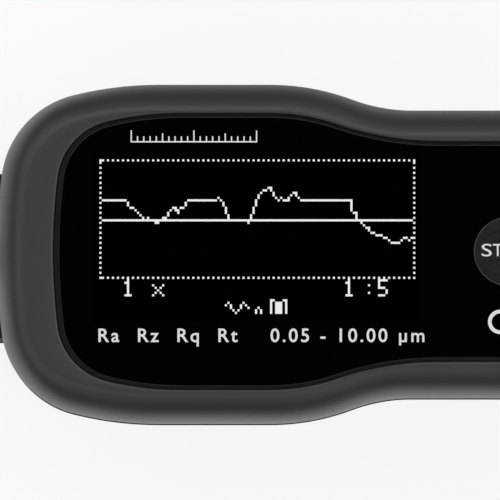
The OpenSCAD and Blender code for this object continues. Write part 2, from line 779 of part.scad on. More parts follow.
module port_socket() {
    z0 = port_z + port_board_t;
    x1 = x_r - port_mouth;
    color("#a9adb1") difference() {
        rounded_bar(x1 - port_socket_l, x1, port_w, z0, z0 + port_h, 0.6);
        difference() {
            rounded_bar(x1 - port_depth, x1 + cut, port_w - 2 * port_wall_t,
                z0 + port_wall_t, z0 + port_h - port_wall_t, 0.4);
            block([x1 - port_depth - cut, -port_w / 3, z0 + port_h / 2 - port_wall_t],
                [x1 - port_wall_t, port_w / 3, z0 + port_h / 2 + port_wall_t / 2]);
        }
    }
}

module port_screws() {
    color("#8d9094") for (s = [-1, 1])
        translate([port_post_x, s * port_post_y, port_z + port_board_t]) mirror([0, 0, 1])
            screw(board_screw_r, port_board_t + port_bite, board_head_r, board_head_h);
}

module drive_frame() {
    color("#b4b8bc") difference() {
        union() {
            block([frame_x0, -frame_half_w, frame_z0], [front_wall_x1, frame_half_w, frame_z1]);
            block([rear_wall_x0, -frame_half_w, frame_z0], [rear_wall_x1, frame_half_w, frame_z1]);
            block([motor_wall_x0, -frame_half_w, frame_z0], [motor_x0, frame_half_w, frame_z1]);
            for (s = [0, 1]) mirror([0, s, 0]) {
                block([frame_x0, frame_half_w - rail_t, frame_z0], [motor_x0, frame_half_w, ear_z1]);
                for (x = ear_xs) block([x - ear_l / 2, frame_half_w - rail_t, ear_z0],
                    [x + ear_l / 2, frame_half_w + ear_w, ear_z1]);
            }
        }
        bar_x(pickup_hole_r, frame_x0 - cut, front_wall_x1 + cut, 0, pickup_z);
        bar_x(front_bearing_r + fit, frame_x0 - cut, front_wall_x1 + cut, 0, screw_z);
        bar_x(rear_bearing_r + fit, rear_wall_x0 - cut, rear_wall_x1 + cut, 0, screw_z);
        bar_x(motor_shaft_r + 4 * loose, motor_wall_x0 - cut, motor_x0 + cut, motor_y, screw_z);
        for (s = [-1, 1]) {
            bar_x(rod_r + fit, front_wall_x1 - rod_seat, rear_wall_x0 + rod_seat, s * rod_y, rod_z);
            bar_x(small_screw_r + fit, frame_x0 - cut, front_wall_x1 + cut, s * nose_screw_y, nose_screw_z);
            bar_x(board_screw_r + loose, motor_wall_x0 - cut, motor_x0 + cut, motor_y,
                screw_z + s * motor_screw_out);
            for (x = ear_xs) bar_z(small_screw_r + loose, [x, s * ear_y], ear_z0 - cut, ear_z1 + cut);
            for (x = [frame_x0, rear_wall_x0])
                bar_z(board_screw_r + fit, [x + frame_wall / 2, s * sensor_screw_y],
                    frame_z1 - board_bite - root, frame_z1 + cut);
        }
    }
}

module frame_screws() {
    color("#8d9094") for (x = ear_xs, s = [-1, 1]) translate([x, s * ear_y, ear_z1]) mirror([0, 0, 1])
        screw(small_screw_r, ear_t + frame_bite, small_head_r, small_head_h);
}

module nose_screws() {
    seat_x = nose_x0 + small_head_h + nose_counter;
    color("#8d9094") for (s = [-1, 1]) translate([seat_x, s * nose_screw_y, nose_screw_z]) rotate([0, 90, 0])
        screw(small_screw_r, front_wall_x1 - seat_x, small_head_r, small_head_h);
}

module guide_rods() {
    color("#d0d3d6") for (s = [-1, 1])
        bar_x(rod_r, front_wall_x1 - rod_seat, rear_wall_x0 + rod_seat, s * rod_y, rod_z);
}

module rod_bushings() {
    color("#a98443") for (s = [-1, 1], x = [carriage_x0, carriage_x1 - bushing_l]) difference() {
        bar_x(bushing_r, x, x + bushing_l, s * rod_y, rod_z);
        bar_x(rod_r + run, x - cut, x + bushing_l + cut, s * rod_y, rod_z);
    }
}

module carriage() {
    color("#7f868c") difference() {
        union() {
            block([carriage_x0, -carriage_half_w, carriage_z0],
                [carriage_x1, carriage_half_w, carriage_shelf_z]);
            block([carriage_x0, -saddle_half_w, carriage_z0], [carriage_x1, saddle_half_w, carriage_z1]);
        }
        for (s = [-1, 1]) bar_x(bushing_r + fit, carriage_x0 - cut, carriage_x1 + cut, s * rod_y, rod_z);
        bar_x(screw_r + 3 * loose, carriage_x0 - cut, carriage_x1 + cut, 0, screw_z);
        bar_x(nut_r + fit, carriage_x1 - nut_l, carriage_x1 + cut, 0, screw_z);
        bar_x(tube_r + bore_fit, carriage_x0 - cut, socket_x1, 0, pickup_z);
    }
}

module lead_nut() {
    color("#b8954a") difference() {
        union() {
            bar_x(nut_r, carriage_x1 - nut_l, carriage_x1 + root, 0, screw_z);
            bar_x(nut_flange_r, carriage_x1, carriage_x1 + nut_flange_t, 0, screw_z);
        }
        bar_x(screw_r + run, carriage_x1 - nut_l - cut, carriage_x1 + nut_flange_t + cut, 0, screw_z);
    }
}

module lead_screw() {
    color("#c3c6c9") union() {
        bar_x(screw_r, front_wall_x1 + loose, rear_wall_x0 - loose, 0, screw_z);
        bar_x(front_journal_r, frame_x0 + loose, front_wall_x1 + root, 0, screw_z);
        bar_x(rear_journal_r, rear_wall_x0 - root, gear_x1, 0, screw_z);
    }
}

module screw_bearings() {
    color("#a98443") for (b = [[front_bearing_r, front_journal_r, frame_x0, front_wall_x1],
        [rear_bearing_r, rear_journal_r, rear_wall_x0, rear_wall_x1]]) difference() {
        bar_x(b[0], b[2], b[3], 0, screw_z);
        bar_x(b[1] + run, b[2] - cut, b[3] + cut, 0, screw_z);
    }
}

module gear(teeth, bore_r, y, turn) {
    translate([gear_x0, y, screw_z]) rotate([0, 90, 0]) difference() {
        rotate(turn) linear_extrude(gear_t) polygon(gear_pts(teeth));
        translate([0, 0, -cut]) cylinder(r = bore_r + fit, h = gear_t + 2 * cut);
    }
}

module screw_gear() {
    color("#c9a24c") gear(gear_teeth, rear_journal_r, 0, 90);
}

module motor_pinion() {
    color("#c9a24c") gear(pinion_teeth, motor_shaft_r, motor_y, 90 + 180 / pinion_teeth);
}

module motor_shaft() {
    color("#d0d3d6") bar_x(motor_shaft_r, gear_x0, motor_x0 + shaft_seat - loose, motor_y, screw_z);
}

module gearmotor() {
    can_x0 = motor_x0 + gearbox_l;
    color("#9fa3a7") difference() {
        union() {
            bar_x(motor_r, motor_x0, can_x0, motor_y, screw_z);
            intersection() {
                bar_x(motor_r, can_x0 - root, motor_x1 - motor_boss_l, motor_y, screw_z);
                block([can_x0 - cut, motor_y - motor_r, screw_z - motor_flat / 2],
                    [motor_x1, motor_y + motor_r, screw_z + motor_flat / 2]);
            }
            bar_x(motor_boss_r, motor_x1 - motor_boss_l - root, motor_x1, motor_y, screw_z);
        }
        bar_x(motor_shaft_r + run, motor_x0 - cut, motor_x0 + shaft_seat, motor_y, screw_z);
        for (s = [-1, 1]) bar_x(board_screw_r + fit, motor_x0 - cut, motor_x0 + motor_bite + loose, motor_y,
            screw_z + s * motor_screw_out);
    }
}

module motor_screws() {
    color("#8d9094") for (s = [-1, 1])
        translate([motor_wall_x0, motor_y, screw_z + s * motor_screw_out]) rotate([0, 90, 0])
            screw(board_screw_r, motor_wall_t + motor_bite, motor_head_r, board_head_h);
}

module sensor_board() {
    inset = 0.5;
    chips = [[carriage_x0 + 2, 0, 8], [carriage_x0 + 18, -4, 6]];
    color("#1f5a38") difference() {
        union() {
            block([frame_x0 + inset, -sensor_board_half_w, frame_z1],
                [rear_wall_x1 - inset, sensor_board_half_w, frame_z1 + board_t]);
            for (c = chips) block([c[0], c[1] - c[2] / 2, frame_z1 + board_t - root],
                [c[0] + c[2], c[1] + c[2] / 2, frame_z1 + board_t + chip_h]);
        }
        for (x = [frame_x0, rear_wall_x0], s = [-1, 1])
            bar_z(board_screw_r + loose, [x + frame_wall / 2, s * sensor_screw_y],
                frame_z1 - cut, frame_z1 + board_t + cut);
    }
}

module sensor_board_screws() {
    color("#8d9094") for (x = [frame_x0, rear_wall_x0], s = [-1, 1])
        translate([x + frame_wall / 2, s * sensor_screw_y, frame_z1 + board_t]) mirror([0, 0, 1])
            screw(board_screw_r, board_t + board_bite, board_head_r, board_head_h);
}

module pickup_tube() {
    color("#b9bcbf") difference() {
        bar_x(tube_r, tube_x0, tube_x1, 0, pickup_z);
        bar_x(tube_bore_r, tube_x0 - cut, tube_x1 + cut, 0, pickup_z);
        translate([pivot_x, 0, pickup_z]) rotate([90, 0, 0])
            cylinder(r = pivot_r + fit, h = 2 * tube_r + cut, center = true);
    }
}

module pickup_plug() {
    color("#202224") difference() {
        bar_x(tube_bore_r - bore_fit, tube_x1 - plug_l, tube_x1, 0, pickup_z);
        for (a = [45:90:315]) bar_x(pin_r + fit, tube_x1 - pin_seat, tube_x1 + cut,
            pin_ring_r * cos(a), pickup_z + pin_ring_r * sin(a));
    }
}

module contact_pins() {
    color("#d2b35a") for (a = [45:90:315])
        bar_x(pin_r, tube_x1 - pin_seat, tube_x1 - pin_seat + pin_l,
            pin_ring_r * cos(a), pickup_z + pin_ring_r * sin(a));
}

module pickup_socket() {
    color("#202224") difference() {
        bar_x(tube_r, socket_x0, socket_x1, 0, pickup_z);
        for (a = [45:90:315]) bar_x(pin_r + fit, socket_x0 - cut, tube_x1 - pin_seat + pin_l + loose,
            pin_ring_r * cos(a), pickup_z + pin_ring_r * sin(a));
    }
}

module pickup_nose() {
    nose_x = tube_x0 - pickup_nose_l;
    seat_x = pickup_nose_l + pickup_nose_seat;
    r = pickup_nose_r;
    e = pickup_nose_round;
    color("#c9ccd0") difference() {
        translate([nose_x, 0, pickup_z]) rotate([0, 90, 0]) rotate_extrude()
            polygon(concat([[0, 0]],
                [for (i = [0:edge_n]) let (a = 90 * i / edge_n) [r - e + e * sin(a), e * (1 - cos(a))]],
                [[r, pickup_nose_l], [r - bore_fit, pickup_nose_l],
                    [r - bore_fit, seat_x], [0, seat_x]]));
        bar_x(pickup_nose_bore_r, stylus_x - 2 * arm_front, tube_x0 + pickup_nose_seat + cut, 0, pickup_z);
        block([stylus_x - skid_l / 2 - loose, -skid_w / 2 - fit, 0],
            [stylus_x + skid_l / 2 + loose, skid_w / 2 + fit, skid_z1]);
        bar_z(stylus_hole_r, [stylus_x, 0], 0, pickup_z);
    }
}

module skid() {
    color("#4a4e55") difference() {
        intersection() {
            translate([stylus_x, skid_w / 2, 0]) rotate([90, 0, 0]) linear_extrude(skid_w)
                polygon([[-skid_foot_l / 2, 0], [skid_foot_l / 2, 0], [skid_foot_l / 2 + 0.4, 1],
                    [skid_l / 2, skid_z1 - 1], [skid_l / 2, skid_z1], [-skid_l / 2, skid_z1],
                    [-skid_l / 2, skid_z1 - 1], [-skid_foot_l / 2 - 0.4, 1]]);
            translate([stylus_x, 0, skid_z0 + skid_curve_r]) rotate([90, 0, 0])
                cylinder(r = skid_curve_r, h = skid_w + cut, center = true);
        }
        bar_z(stylus_hole_r, [stylus_x, 0], -cut, skid_z1 + cut);
    }
}

module pivot_pin() {
    color("#d0d3d6") translate([pivot_x, 0, pickup_z]) rotate([90, 0, 0])
        cylinder(r = pivot_r, h = pivot_l, center = true);
}

module stylus_arm() {
    t = arm_t / 2;
    color("#c3c6c9") difference() {
        union() {
            block([stylus_x - arm_front, -t, pickup_z - t], [pivot_x + core_gap, t, pickup_z + t]);
            translate([pivot_x, 0, pickup_z]) rotate([90, 0, 0])
                cylinder(r = hub_r, h = 2 * hub_r, center = true);
        }
        translate([pivot_x, 0, pickup_z]) rotate([90, 0, 0])
            cylinder(r = pivot_r + run, h = 2 * hub_r + cut, center = true);
    }
}

module stylus_tip() {
    z1 = pickup_z - arm_t / 2;
    color("#d9dde2") translate([stylus_x, 0, 0]) rotate_extrude()
        polygon([[0, tip_z0], [tip_point_r, tip_z0], [tip_r, tip_z0 + tip_cone_h], [tip_r, z1], [0, z1]]);
}

module sensor_core() {
    color("#3a3b3d") bar_x(core_r, pivot_x + core_gap, pivot_x + core_gap + core_l, 0, pickup_z);
}

module sensor_coils() {
    x0 = pivot_x + core_gap - (coil_l - core_l) / 2;
    color("#a2602f") difference() {
        bar_x(tube_bore_r - bore_fit, x0, x0 + coil_l, 0, pickup_z);
        bar_x(coil_bore_r, x0 - cut, x0 + coil_l + cut, 0, pickup_z);
    }
}

top_shell();
bottom_shell();
nose_cap();
front_panel();
panel_seal();
housing_screws();
stand_insert();
start_key();
switch_plunger();
start_switch();
key_switches();
display_frame();
display_glass();
main_board();
board_screws();
battery_pack();
port_board();
port_socket();
port_screws();
drive_frame();
frame_screws();
nose_screws();
guide_rods();
rod_bushings();
carriage();
lead_nut();
lead_screw();
screw_bearings();
screw_gear();
motor_pinion();
motor_shaft();
gearmotor();
motor_screws();
sensor_board();
sensor_board_screws();
pickup_tube();
pickup_plug();
contact_pins();
pickup_socket();
pickup_nose();
skid();
pivot_pin();
stylus_arm();
stylus_tip();
sensor_core();
sensor_coils();
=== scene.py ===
import json
import math

import bmesh
import bpy
from mathutils import Matrix, Vector


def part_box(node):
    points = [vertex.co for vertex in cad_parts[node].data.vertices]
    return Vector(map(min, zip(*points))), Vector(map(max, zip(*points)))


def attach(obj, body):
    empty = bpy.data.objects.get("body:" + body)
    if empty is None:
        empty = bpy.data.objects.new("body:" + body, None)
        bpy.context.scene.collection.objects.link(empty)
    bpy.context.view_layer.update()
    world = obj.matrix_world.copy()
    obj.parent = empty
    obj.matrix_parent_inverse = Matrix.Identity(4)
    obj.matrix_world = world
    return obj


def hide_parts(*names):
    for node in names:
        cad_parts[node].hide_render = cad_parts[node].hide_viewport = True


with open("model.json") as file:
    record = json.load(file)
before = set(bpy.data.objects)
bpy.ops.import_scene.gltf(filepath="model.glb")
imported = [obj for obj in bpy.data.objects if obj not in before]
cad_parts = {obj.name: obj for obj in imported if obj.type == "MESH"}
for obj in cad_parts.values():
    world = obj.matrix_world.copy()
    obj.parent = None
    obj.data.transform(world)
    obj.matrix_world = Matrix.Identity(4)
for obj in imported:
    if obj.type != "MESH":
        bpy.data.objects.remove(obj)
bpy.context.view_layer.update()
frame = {"nodes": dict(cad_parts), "record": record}
nodes = frame["nodes"]
scene = bpy.context.scene
mm = 0.001
weld = 0.0005        # vertices closer than this become one
tiny = 0.001         # places closer than this are the same
over = 1             # cutters reach this far past the faces that they cut


def nodeBox(name):
    low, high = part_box(name)
    return low / mm, high / mm


# Shader maths: an operator on a signal adds its Math nodes
class Signal:
    def __init__(self, graph, socket):
        self.graph = graph
        self.socket = socket

    def maths(self, operation, *others):
        inputs = dict(enumerate((self, *others)))
        return self.graph.node("Math", {"operation": operation}, inputs)

    def __add__(self, other):
        return self.maths("ADD", other)

    def __sub__(self, other):
        return self.maths("SUBTRACT", other)

    def __rsub__(self, other):
        return (self * -1).maths("ADD", other)

    def __mul__(self, other):
        return self.maths("MULTIPLY", other)

    def __abs__(self):
        return self.maths("ABSOLUTE")

    __radd__ = __add__
    __rmul__ = __mul__

    # 0 below low, 1 above high, eased between them
    def ease(self, low, high):
        limits = {"Value": self, "From Min": low, "From Max": high}
        return self.graph.node("MapRange", {"interpolation_type": "SMOOTHSTEP"}, limits)

    # 1 between low and high, with soft ends
    def within(self, low, high, soft):
        half = (high - low) / 2
        return 1 - abs(self - (low + high) / 2).ease(half - soft, half + soft)


class Graph:
    def __init__(self, tree):
        self.tree = tree

    def feed(self, socket, value):
        if isinstance(value, Signal):
            self.tree.links.new(value.socket, socket)
        else:
            socket.default_value = value

    # the one place where a node is made: type, settings, then values or links of its sockets
    def node(self, kind, settings=None, inputs=None, output=0):
        made = self.tree.nodes.new("ShaderNode" + kind)
        for name, value in (settings or {}).items():
            if name == "stops":
                ramp = made.color_ramp.elements
                while len(ramp) < len(value):
                    ramp.new(1)
                for stop, (place, colour) in zip(ramp, value):
                    stop.position = place
                    stop.color = colour
            else:
                setattr(made, name, value)
        for name, value in (inputs or {}).items():
            self.feed(made.inputs[name], value)
        return Signal(self, made.outputs[output])

    # the piece's own coordinates in millimetres, stretched by a scale
    def place(self, scale=(1, 1, 1)):
        coords = self.node("TexCoord", output="Object")
        sizes = tuple(part / mm for part in scale)
        return self.node("Mapping", {}, {"Vector": coords, "Scale": sizes})

    def noise(self, where, scale, detail=3, roughness=0.55):
        inputs = {"Vector": where, "Scale": scale, "Detail": detail, "Roughness": roughness}
        return self.node("TexNoise", {"noise_dimensions": "3D"}, inputs)

    # inputs 6 and 7 and output 2 are the colour sockets
    def mix(self, factor, first, second):
        return self.node("Mix", {"data_type": "RGBA"}, {0: factor, 6: first, 7: second}, 2)

    def bump(self, height, distance):
        inputs = {"Strength": 1, "Distance": distance, "Height": height}
        return self.node("Bump", {}, inputs)

    def axis(self, where, letter):
        return self.node("SeparateXYZ", {}, {0: where}, letter)

    def ray(self, kind):
        return self.node("LightPath", output=f"Is {kind} Ray")


def shade(colour, factor=1):
    return tuple(part * factor for part in colour) + (1,)


def grey(tone):
    return (tone, tone, tone, 1)


# A value that a noise moves up and down
def wavering(middle, noise, vary):
    return middle + (noise - 0.5) * vary


# A principled material: a recipe turns its look into values and links of the sockets
def newFinish(name, recipe, look):
    material = bpy.data.materials.new(name)
    material.use_nodes = True
    graph = Graph(material.node_tree)
    shader = graph.tree.nodes["Principled BSDF"]
    for socket, value in recipe(graph, look).items():
        graph.feed(shader.inputs[socket], value)
    return material


noiseSpan = 0.3, 0.7        # most of a noise lies between these
mottleShare = 0.6           # of the mottle in a moulded tone, the rest is grain


# Moulded plastic or rubber: broad mottle, fine spark-eroded grain, and gloss that follows the grain
def moulded(graph, look):
    where = graph.place()
    broad = graph.noise(where, look["mottleScale"], 4)
    grain = graph.noise(where, look["grainScale"], 2)
    tone = (broad * mottleShare + grain * (1 - mottleShare)).ease(*noiseSpan)
    dark, light = (shade(look["colour"], 1 + side * look["vary"]) for side in (-1, 1))
    colour = graph.mix(tone, dark, light)
    if "rimZ" in look:       # painted highlight: the key's rounded rim is painted paler than its face
        low, high = (look["rimZ"] + side * look["rimFade"] for side in (-1, 1))
        colour = graph.mix(1 - graph.axis(where, "Z").ease(low, high), colour, shade(look["rimColour"]))
    return {"Base Color": colour, "Roughness": wavering(look["rough"], grain, look["roughVary"]),
            "Normal": graph.bump(grain, look["grainDepth"]), "IOR": 1.5,
            "Specular IOR Level": look.get("gloss", 0.5)}


metalGrain = {"lineShare": 0.7, "lineRough": 0.6, "blotchScale": 0.5, "dark": 0.86, "light": 1.06,
              "roughVary": 0.18}


# Bare metal: fine lines drawn out along one axis, with faint blotches
def drawnMetal(graph, look):
    m = metalGrain
    lines = graph.noise(graph.place(look["stretch"]), 1, 3, m["lineRough"])
    blotch = graph.noise(graph.place(), m["blotchScale"], 3)
    tone = (lines * m["lineShare"] + blotch * (1 - m["lineShare"])).ease(*noiseSpan)
    colour = graph.mix(tone, shade(look["colour"], m["dark"]), shade(look["colour"], m["light"]))
    return {"Base Color": colour, "Roughness": wavering(look["rough"], lines, m["roughVary"]),
            "Normal": graph.bump(lines, look["depth"]), "Metallic": 1}


# Printed film over the display: satin black, with a glossier clear window
glassLow, glassHigh = nodeBox("display_glass")
glassLap = 2.3        # the glass reaches this far under the film round the window
panelLook = {"colour": (0.0005, 0.0005, 0.0006), "rough": 0.14, "roughVary": 0.04,
             "grainScale": 5, "grainDepth": 0.000002,
             "window": (glassLow.x + glassLap, glassHigh.x - glassLap,
                        glassLow.y + glassLap, glassHigh.y - glassLap),
             "windowSoft": 0.1, "windowShade": 0.8, "windowRough": 0.07,
             # paler bevel: the film's bare edge, with a painted highlight along it
             "edgeColour": (0.07, 0.07, 0.072), "edgeDrop": 0.03, "edgeFade": 0.02}


def panelFilm(graph, look):
    where = graph.place()
    x0, x1, y0, y1 = look["window"]
    inside = (graph.axis(where, "X").within(x0, x1, look["windowSoft"])
              * graph.axis(where, "Y").within(y0, y1, look["windowSoft"]))
    grain = graph.noise(where, look["grainScale"], 2)
    colour = graph.mix(inside, shade(look["colour"]), shade(look["colour"], look["windowShade"]))
    face = nodeBox("front_panel")[1].z - look["edgeDrop"]
    edge = 1 - graph.axis(where, "Z").ease(face - look["edgeFade"], face)      # the bevel is painted paler: the film's bare edge, with a painted highlight along it
    gloss = look["rough"] - inside * (look["rough"] - look["windowRough"])
    return {"Base Color": graph.mix(edge, colour, shade(look["edgeColour"])),
            "Roughness": wavering(gloss, grain, look["roughVary"]),
            "Normal": graph.bump(grain * (1 - inside), look["grainDepth"]),
            "IOR": 1.45, "Specular IOR Level": 0.25}


inkLook = {"thin": 0.7, "full": 0.82, "speckleScale": 9, "rough": 0.45, "roughVary": 0.1}


# White screen print, slightly uneven ink, with a glow: painted light on the printed marks, the display's
# own light on its lit pixels
def inkPrint(graph, look):
    speckle = graph.noise(graph.place(), look["speckleScale"], 2)
    ink = graph.mix(speckle, grey(look["thin"]), grey(look["full"]))
    return {"Base Color": ink, "Emission Color": ink, "Emission Strength": look["glow"],
            "Roughness": wavering(look["rough"], speckle, look["roughVary"])}


boardLook = {"mask": (0.012, 0.085, 0.035), "track": (0.03, 0.16, 0.07), "trackScale": 0.35, "trackW": 0.05,
             "trackShift": 0.37, "trackRise": 0.6, "speckleScale": 3, "speckleRise": 0.2, "depth": 0.00004,
             "rough": 0.28, "roughVary": 0.12}


# Solder mask with a faint pattern of tracks under it
def solderMask(graph, look):
    where = graph.place()
    sizes = {"Vector": where, "Scale": look["trackScale"], "Mortar Size": look["trackW"]}
    tracks = graph.node("TexBrick", {"offset": look["trackShift"]}, sizes, 1)      # 1 on the joints
    speckle = graph.noise(where, look["speckleScale"])
    relief = tracks * look["trackRise"] + speckle * look["speckleRise"]
    return {"Base Color": graph.mix(tracks, shade(look["mask"]), shade(look["track"])),
            "Roughness": look["rough"] + speckle * look["roughVary"],
            "Normal": graph.bump(relief, look["depth"])}


glassLook = {"dark": (0.002, 0.003, 0.004), "light": (0.006, 0.008, 0.01), "sheenScale": 0.2,
             "rough": 0.05, "roughVary": 0.04}


def displayGlass(graph, look):
    sheen = graph.noise(graph.place(), look["sheenScale"], 2)
    return {"Base Color": graph.mix(sheen, shade(look["dark"]), shade(look["light"])),
            "Roughness": look["rough"] + sheen * look["roughVary"], "IOR": 1.52}


wireLook = {"dark": (0.2, 0.06, 0.018), "light": (0.5, 0.2, 0.07), "turnScale": 2.5, "waver": 0.2,
            "rough": 0.3, "roughVary": 0.1, "depth": 0.00008}


# Enamelled wire laid in close turns along the coil
def woundWire(graph, look):
    sizes = {"Vector": graph.place(), "Scale": look["turnScale"], "Distortion": look["waver"]}
    turns = graph.node("TexWave", {"bands_direction": "X"}, sizes)
    return {"Base Color": graph.mix(turns, shade(look["dark"]), shade(look["light"])),
            "Roughness": look["rough"] + turns * look["roughVary"],
            "Normal": graph.bump(turns, look["depth"]), "Metallic": 0.8}


keyLow, keyHigh = nodeBox("start_key")
keyAt = ((keyLow.x + keyHigh.x) / 2, (keyLow.y + keyHigh.y) / 2)
keyR, keyGap = 5.8, 0.2
keyTop = keyHigh.z - 0.03        # the print on the key takes up the rest
plasticLooks = {
    "grey_housing": {"colour": (0.036, 0.0365, 0.038), "vary": 0.05, "rough": 0.42, "roughVary": 0.16,
                     "mottleScale": 0.35, "grainScale": 3.2, "grainDepth": 0.000006},
    "black_housing": {"colour": (0.0095, 0.0095, 0.01), "vary": 0.1, "rough": 0.5, "roughVary": 0.16,
                      "mottleScale": 0.35, "grainScale": 3.2, "grainDepth": 0.000006, "gloss": 0.3},
    "seal": {"colour": (0.0028, 0.0028, 0.003), "vary": 0.12, "rough": 0.6, "roughVary": 0.12,
             "mottleScale": 0.8, "grainScale": 4, "grainDepth": 0.000004, "gloss": 0.25},
    "key": {"colour": (0.01, 0.01, 0.0104), "vary": 0.6, "rough": 0.6, "roughVary": 0.3,
            "mottleScale": 1.6, "grainScale": 3, "grainDepth": 0.00003, "gloss": 0.2,
            # painted highlight: the key is painted paler below this height, round its rim
            "rimZ": keyTop - 0.31, "rimFade": 0.05, "rimColour": (0.085, 0.085, 0.087)},
    "switch_plastic": {"colour": (0.02, 0.02, 0.022), "vary": 0.12, "rough": 0.5, "roughVary": 0.15,
                       "mottleScale": 0.6, "grainScale": 4, "grainDepth": 0.000006},
    "battery": {"colour": (0.02, 0.07, 0.16), "vary": 0.1, "rough": 0.3, "roughVary": 0.1,
                "mottleScale": 0.2, "grainScale": 1.5, "grainDepth": 0.00001},
}
metalLooks = {
    "display_metal": {"colour": (0.55, 0.56, 0.57), "rough": 0.38, "stretch": (0.3, 6, 6),
                      "depth": 0.000003},
    "steel": {"colour": (0.6, 0.61, 0.62), "rough": 0.28, "stretch": (5, 0.4, 0.4), "depth": 0.000002},
    "screw_steel": {"colour": (0.42, 0.43, 0.45), "rough": 0.35, "stretch": (2, 2, 4), "depth": 0.000003},
    "brass": {"colour": (0.58, 0.4, 0.14), "rough": 0.3, "stretch": (4, 1, 1), "depth": 0.000002},
    "frame_metal": {"colour": (0.58, 0.6, 0.61), "rough": 0.45, "stretch": (1.2, 1.2, 1.2),
                    "depth": 0.000012},
    "carriage_metal": {"colour": (0.34, 0.36, 0.38), "rough": 0.42, "stretch": (0.5, 4, 4),
                       "depth": 0.000003},
    "skid_metal": {"colour": (0.2, 0.205, 0.215), "rough": 0.16, "stretch": (1, 3, 3), "depth": 0.000001},
}
recipes = [(slot, moulded, look) for slot, look in plasticLooks.items()]
recipes += [(slot, drawnMetal, look) for slot, look in metalLooks.items()]
recipes += [("panel", panelFilm, panelLook), ("board", solderMask, boardLook),
            ("glass", displayGlass, glassLook), ("coil", woundWire, wireLook)]
finishes = {slot: newFinish(slot, recipe, look) for slot, recipe, look in recipes}
# the printed marks glow a little: painted light, as the print is no lamp
glowingWhiteInk = newFinish("glowingWhiteInk", inkPrint, {**inkLook, "glow": 0.08})
litPixels = newFinish("litPixels", inkPrint, {**inkLook, "glow": 0.26})
for part in frame["record"]["subparts"]:
    mesh = nodes[part["node"]].data
    mesh.materials.clear()
    mesh.materials.append(finishes[part["material_slot"]])
print("finishes:", len(finishes) + 2)

flatSides = 9        # a face with this many corners is a flat cap


def addObject(name, data):
    made = bpy.data.objects.new(name, data)
    scene.collection.objects.link(made)
    return made


# A bmesh in millimetres becomes a piece in metres that rides on a body
def makePiece(bm, name, body, slot, replaced=(), finish=None, sharpAngle=35):
    bmesh.ops.remove_doubles(bm, verts=bm.verts, dist=weld)
    bmesh.ops.recalc_face_normals(bm, faces=bm.faces)
    for face in bm.faces:
        face.smooth = True
    for edge in bm.edges:        # creases and the rims of flat caps stay sharp
        edge.smooth = (edge.calc_face_angle(math.pi) < math.radians(sharpAngle)
                       and all(len(face.verts) < flatSides for face in edge.link_faces))
    bmesh.ops.scale(bm, verts=bm.verts, vec=(mm, mm, mm))
    mesh = bpy.data.meshes.new(name)
    bm.to_mesh(mesh)
    bm.free()
    mesh.materials.append(finish or finishes[slot])
    piece = addObject(name, mesh)
    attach(piece, body)
    if replaced:
        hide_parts(*replaced)


# One exact Boolean between two bmeshes, through two passing objects
def combine(bm, tool, operation="DIFFERENCE"):
    passing = []
    for source in (bm, tool):
        mesh = bpy.data.meshes.new("passing")
        source.to_mesh(mesh)
        passing.append(addObject("passing", mesh))
    cut = passing[0].modifiers.new("cut", "BOOLEAN")
    cut.operation = operation
    cut.solver = "EXACT"
    cut.object = passing[1]
    graph = bpy.context.evaluated_depsgraph_get()
    result = bpy.data.meshes.new_from_object(passing[0].evaluated_get(graph))
    bm.clear()
    bm.from_mesh(result)
    tool.free()
    for mesh in [result] + [obj.data for obj in passing]:
        bpy.data.meshes.remove(mesh)      # its object goes with it


outlineSteps = {"end": 12, "corner": 22, "shoulder": 10, "head": 6, "waistOut": 14, "waistIn": 12,
                "side": 10, "tail": 20}


# Upper half of the outline, from the display end to the tail: arcs are spun, straights extruded
def walkOutline(bm, plan, inset, height):
    known = set(bm.edges)
    bend = math.radians(plan["shoulderTurn"])
    endR, cornerR, shoulderR = plan["endR"], plan["cornerR"], plan["shoulderR"]
    outR, inR, tailR = plan["waistOutR"], plan["waistInR"], plan["tailR"]
    head, waist = plan["headHalf"], plan["waistHalf"]
    endTurn = math.asin((head - shoulderR + (shoulderR - cornerR) * math.cos(bend)) / (endR - cornerR))
    waistTurn = math.acos(1 - (head - waist) / (outR + inR))
    tailTurn = math.asin((waist - tailR) / (endR - tailR))
    endAt = Vector((plan["left"] + endR, 0))
    cornerAt = endAt + (endR - cornerR) * Vector((-math.cos(endTurn), math.sin(endTurn)))
    shoulderAt = cornerAt + (cornerR - shoulderR) * Vector((-math.sin(bend), math.cos(bend)))
    outAt = Vector((plan["waistStart"], head - outR))
    inAt = outAt + (outR + inR) * Vector((math.sin(waistTurn), math.cos(waistTurn)))
    tailEndAt = Vector((plan["right"] - endR, 0))
    tailAt = tailEndAt + (endR - tailR) * Vector((math.cos(tailTurn), math.sin(tailTurn)))
    quarter = math.pi / 2
    tip = [bm.verts.new((plan["left"] + inset, 0, height))]

    def arc(centre, angle, part):
        made = bmesh.ops.spin(bm, geom=tip, cent=(*centre, height), axis=(0, 0, 1), dvec=(0, 0, 0),
                              angle=angle, steps=outlineSteps[part], use_merge=False,
                              use_normal_flip=False, use_duplicate=False)
        tip[:] = made["geom_last"]

    def straight(x, part):
        reach = (x - tip[0].co.x) / outlineSteps[part]
        for _ in range(outlineSteps[part]):
            tip[:] = bmesh.ops.extrude_vert_indiv(bm, verts=tip)["verts"]
            bmesh.ops.translate(bm, verts=tip, vec=(reach, 0, 0))

    arc(endAt, -endTurn, "end")
    arc(cornerAt, endTurn + bend - quarter, "corner")
    arc(shoulderAt, -bend, "shoulder")
    straight(outAt.x, "head")
    arc(outAt, -waistTurn, "waistOut")
    arc(inAt, waistTurn, "waistIn")
    straight(tailAt.x, "side")
    arc(tailAt, tailTurn - quarter, "tail")
    arc(tailEndAt, -tailTurn, "end")
    tip[0].co.y = 0
    return [edge for edge in bm.edges if edge not in known]


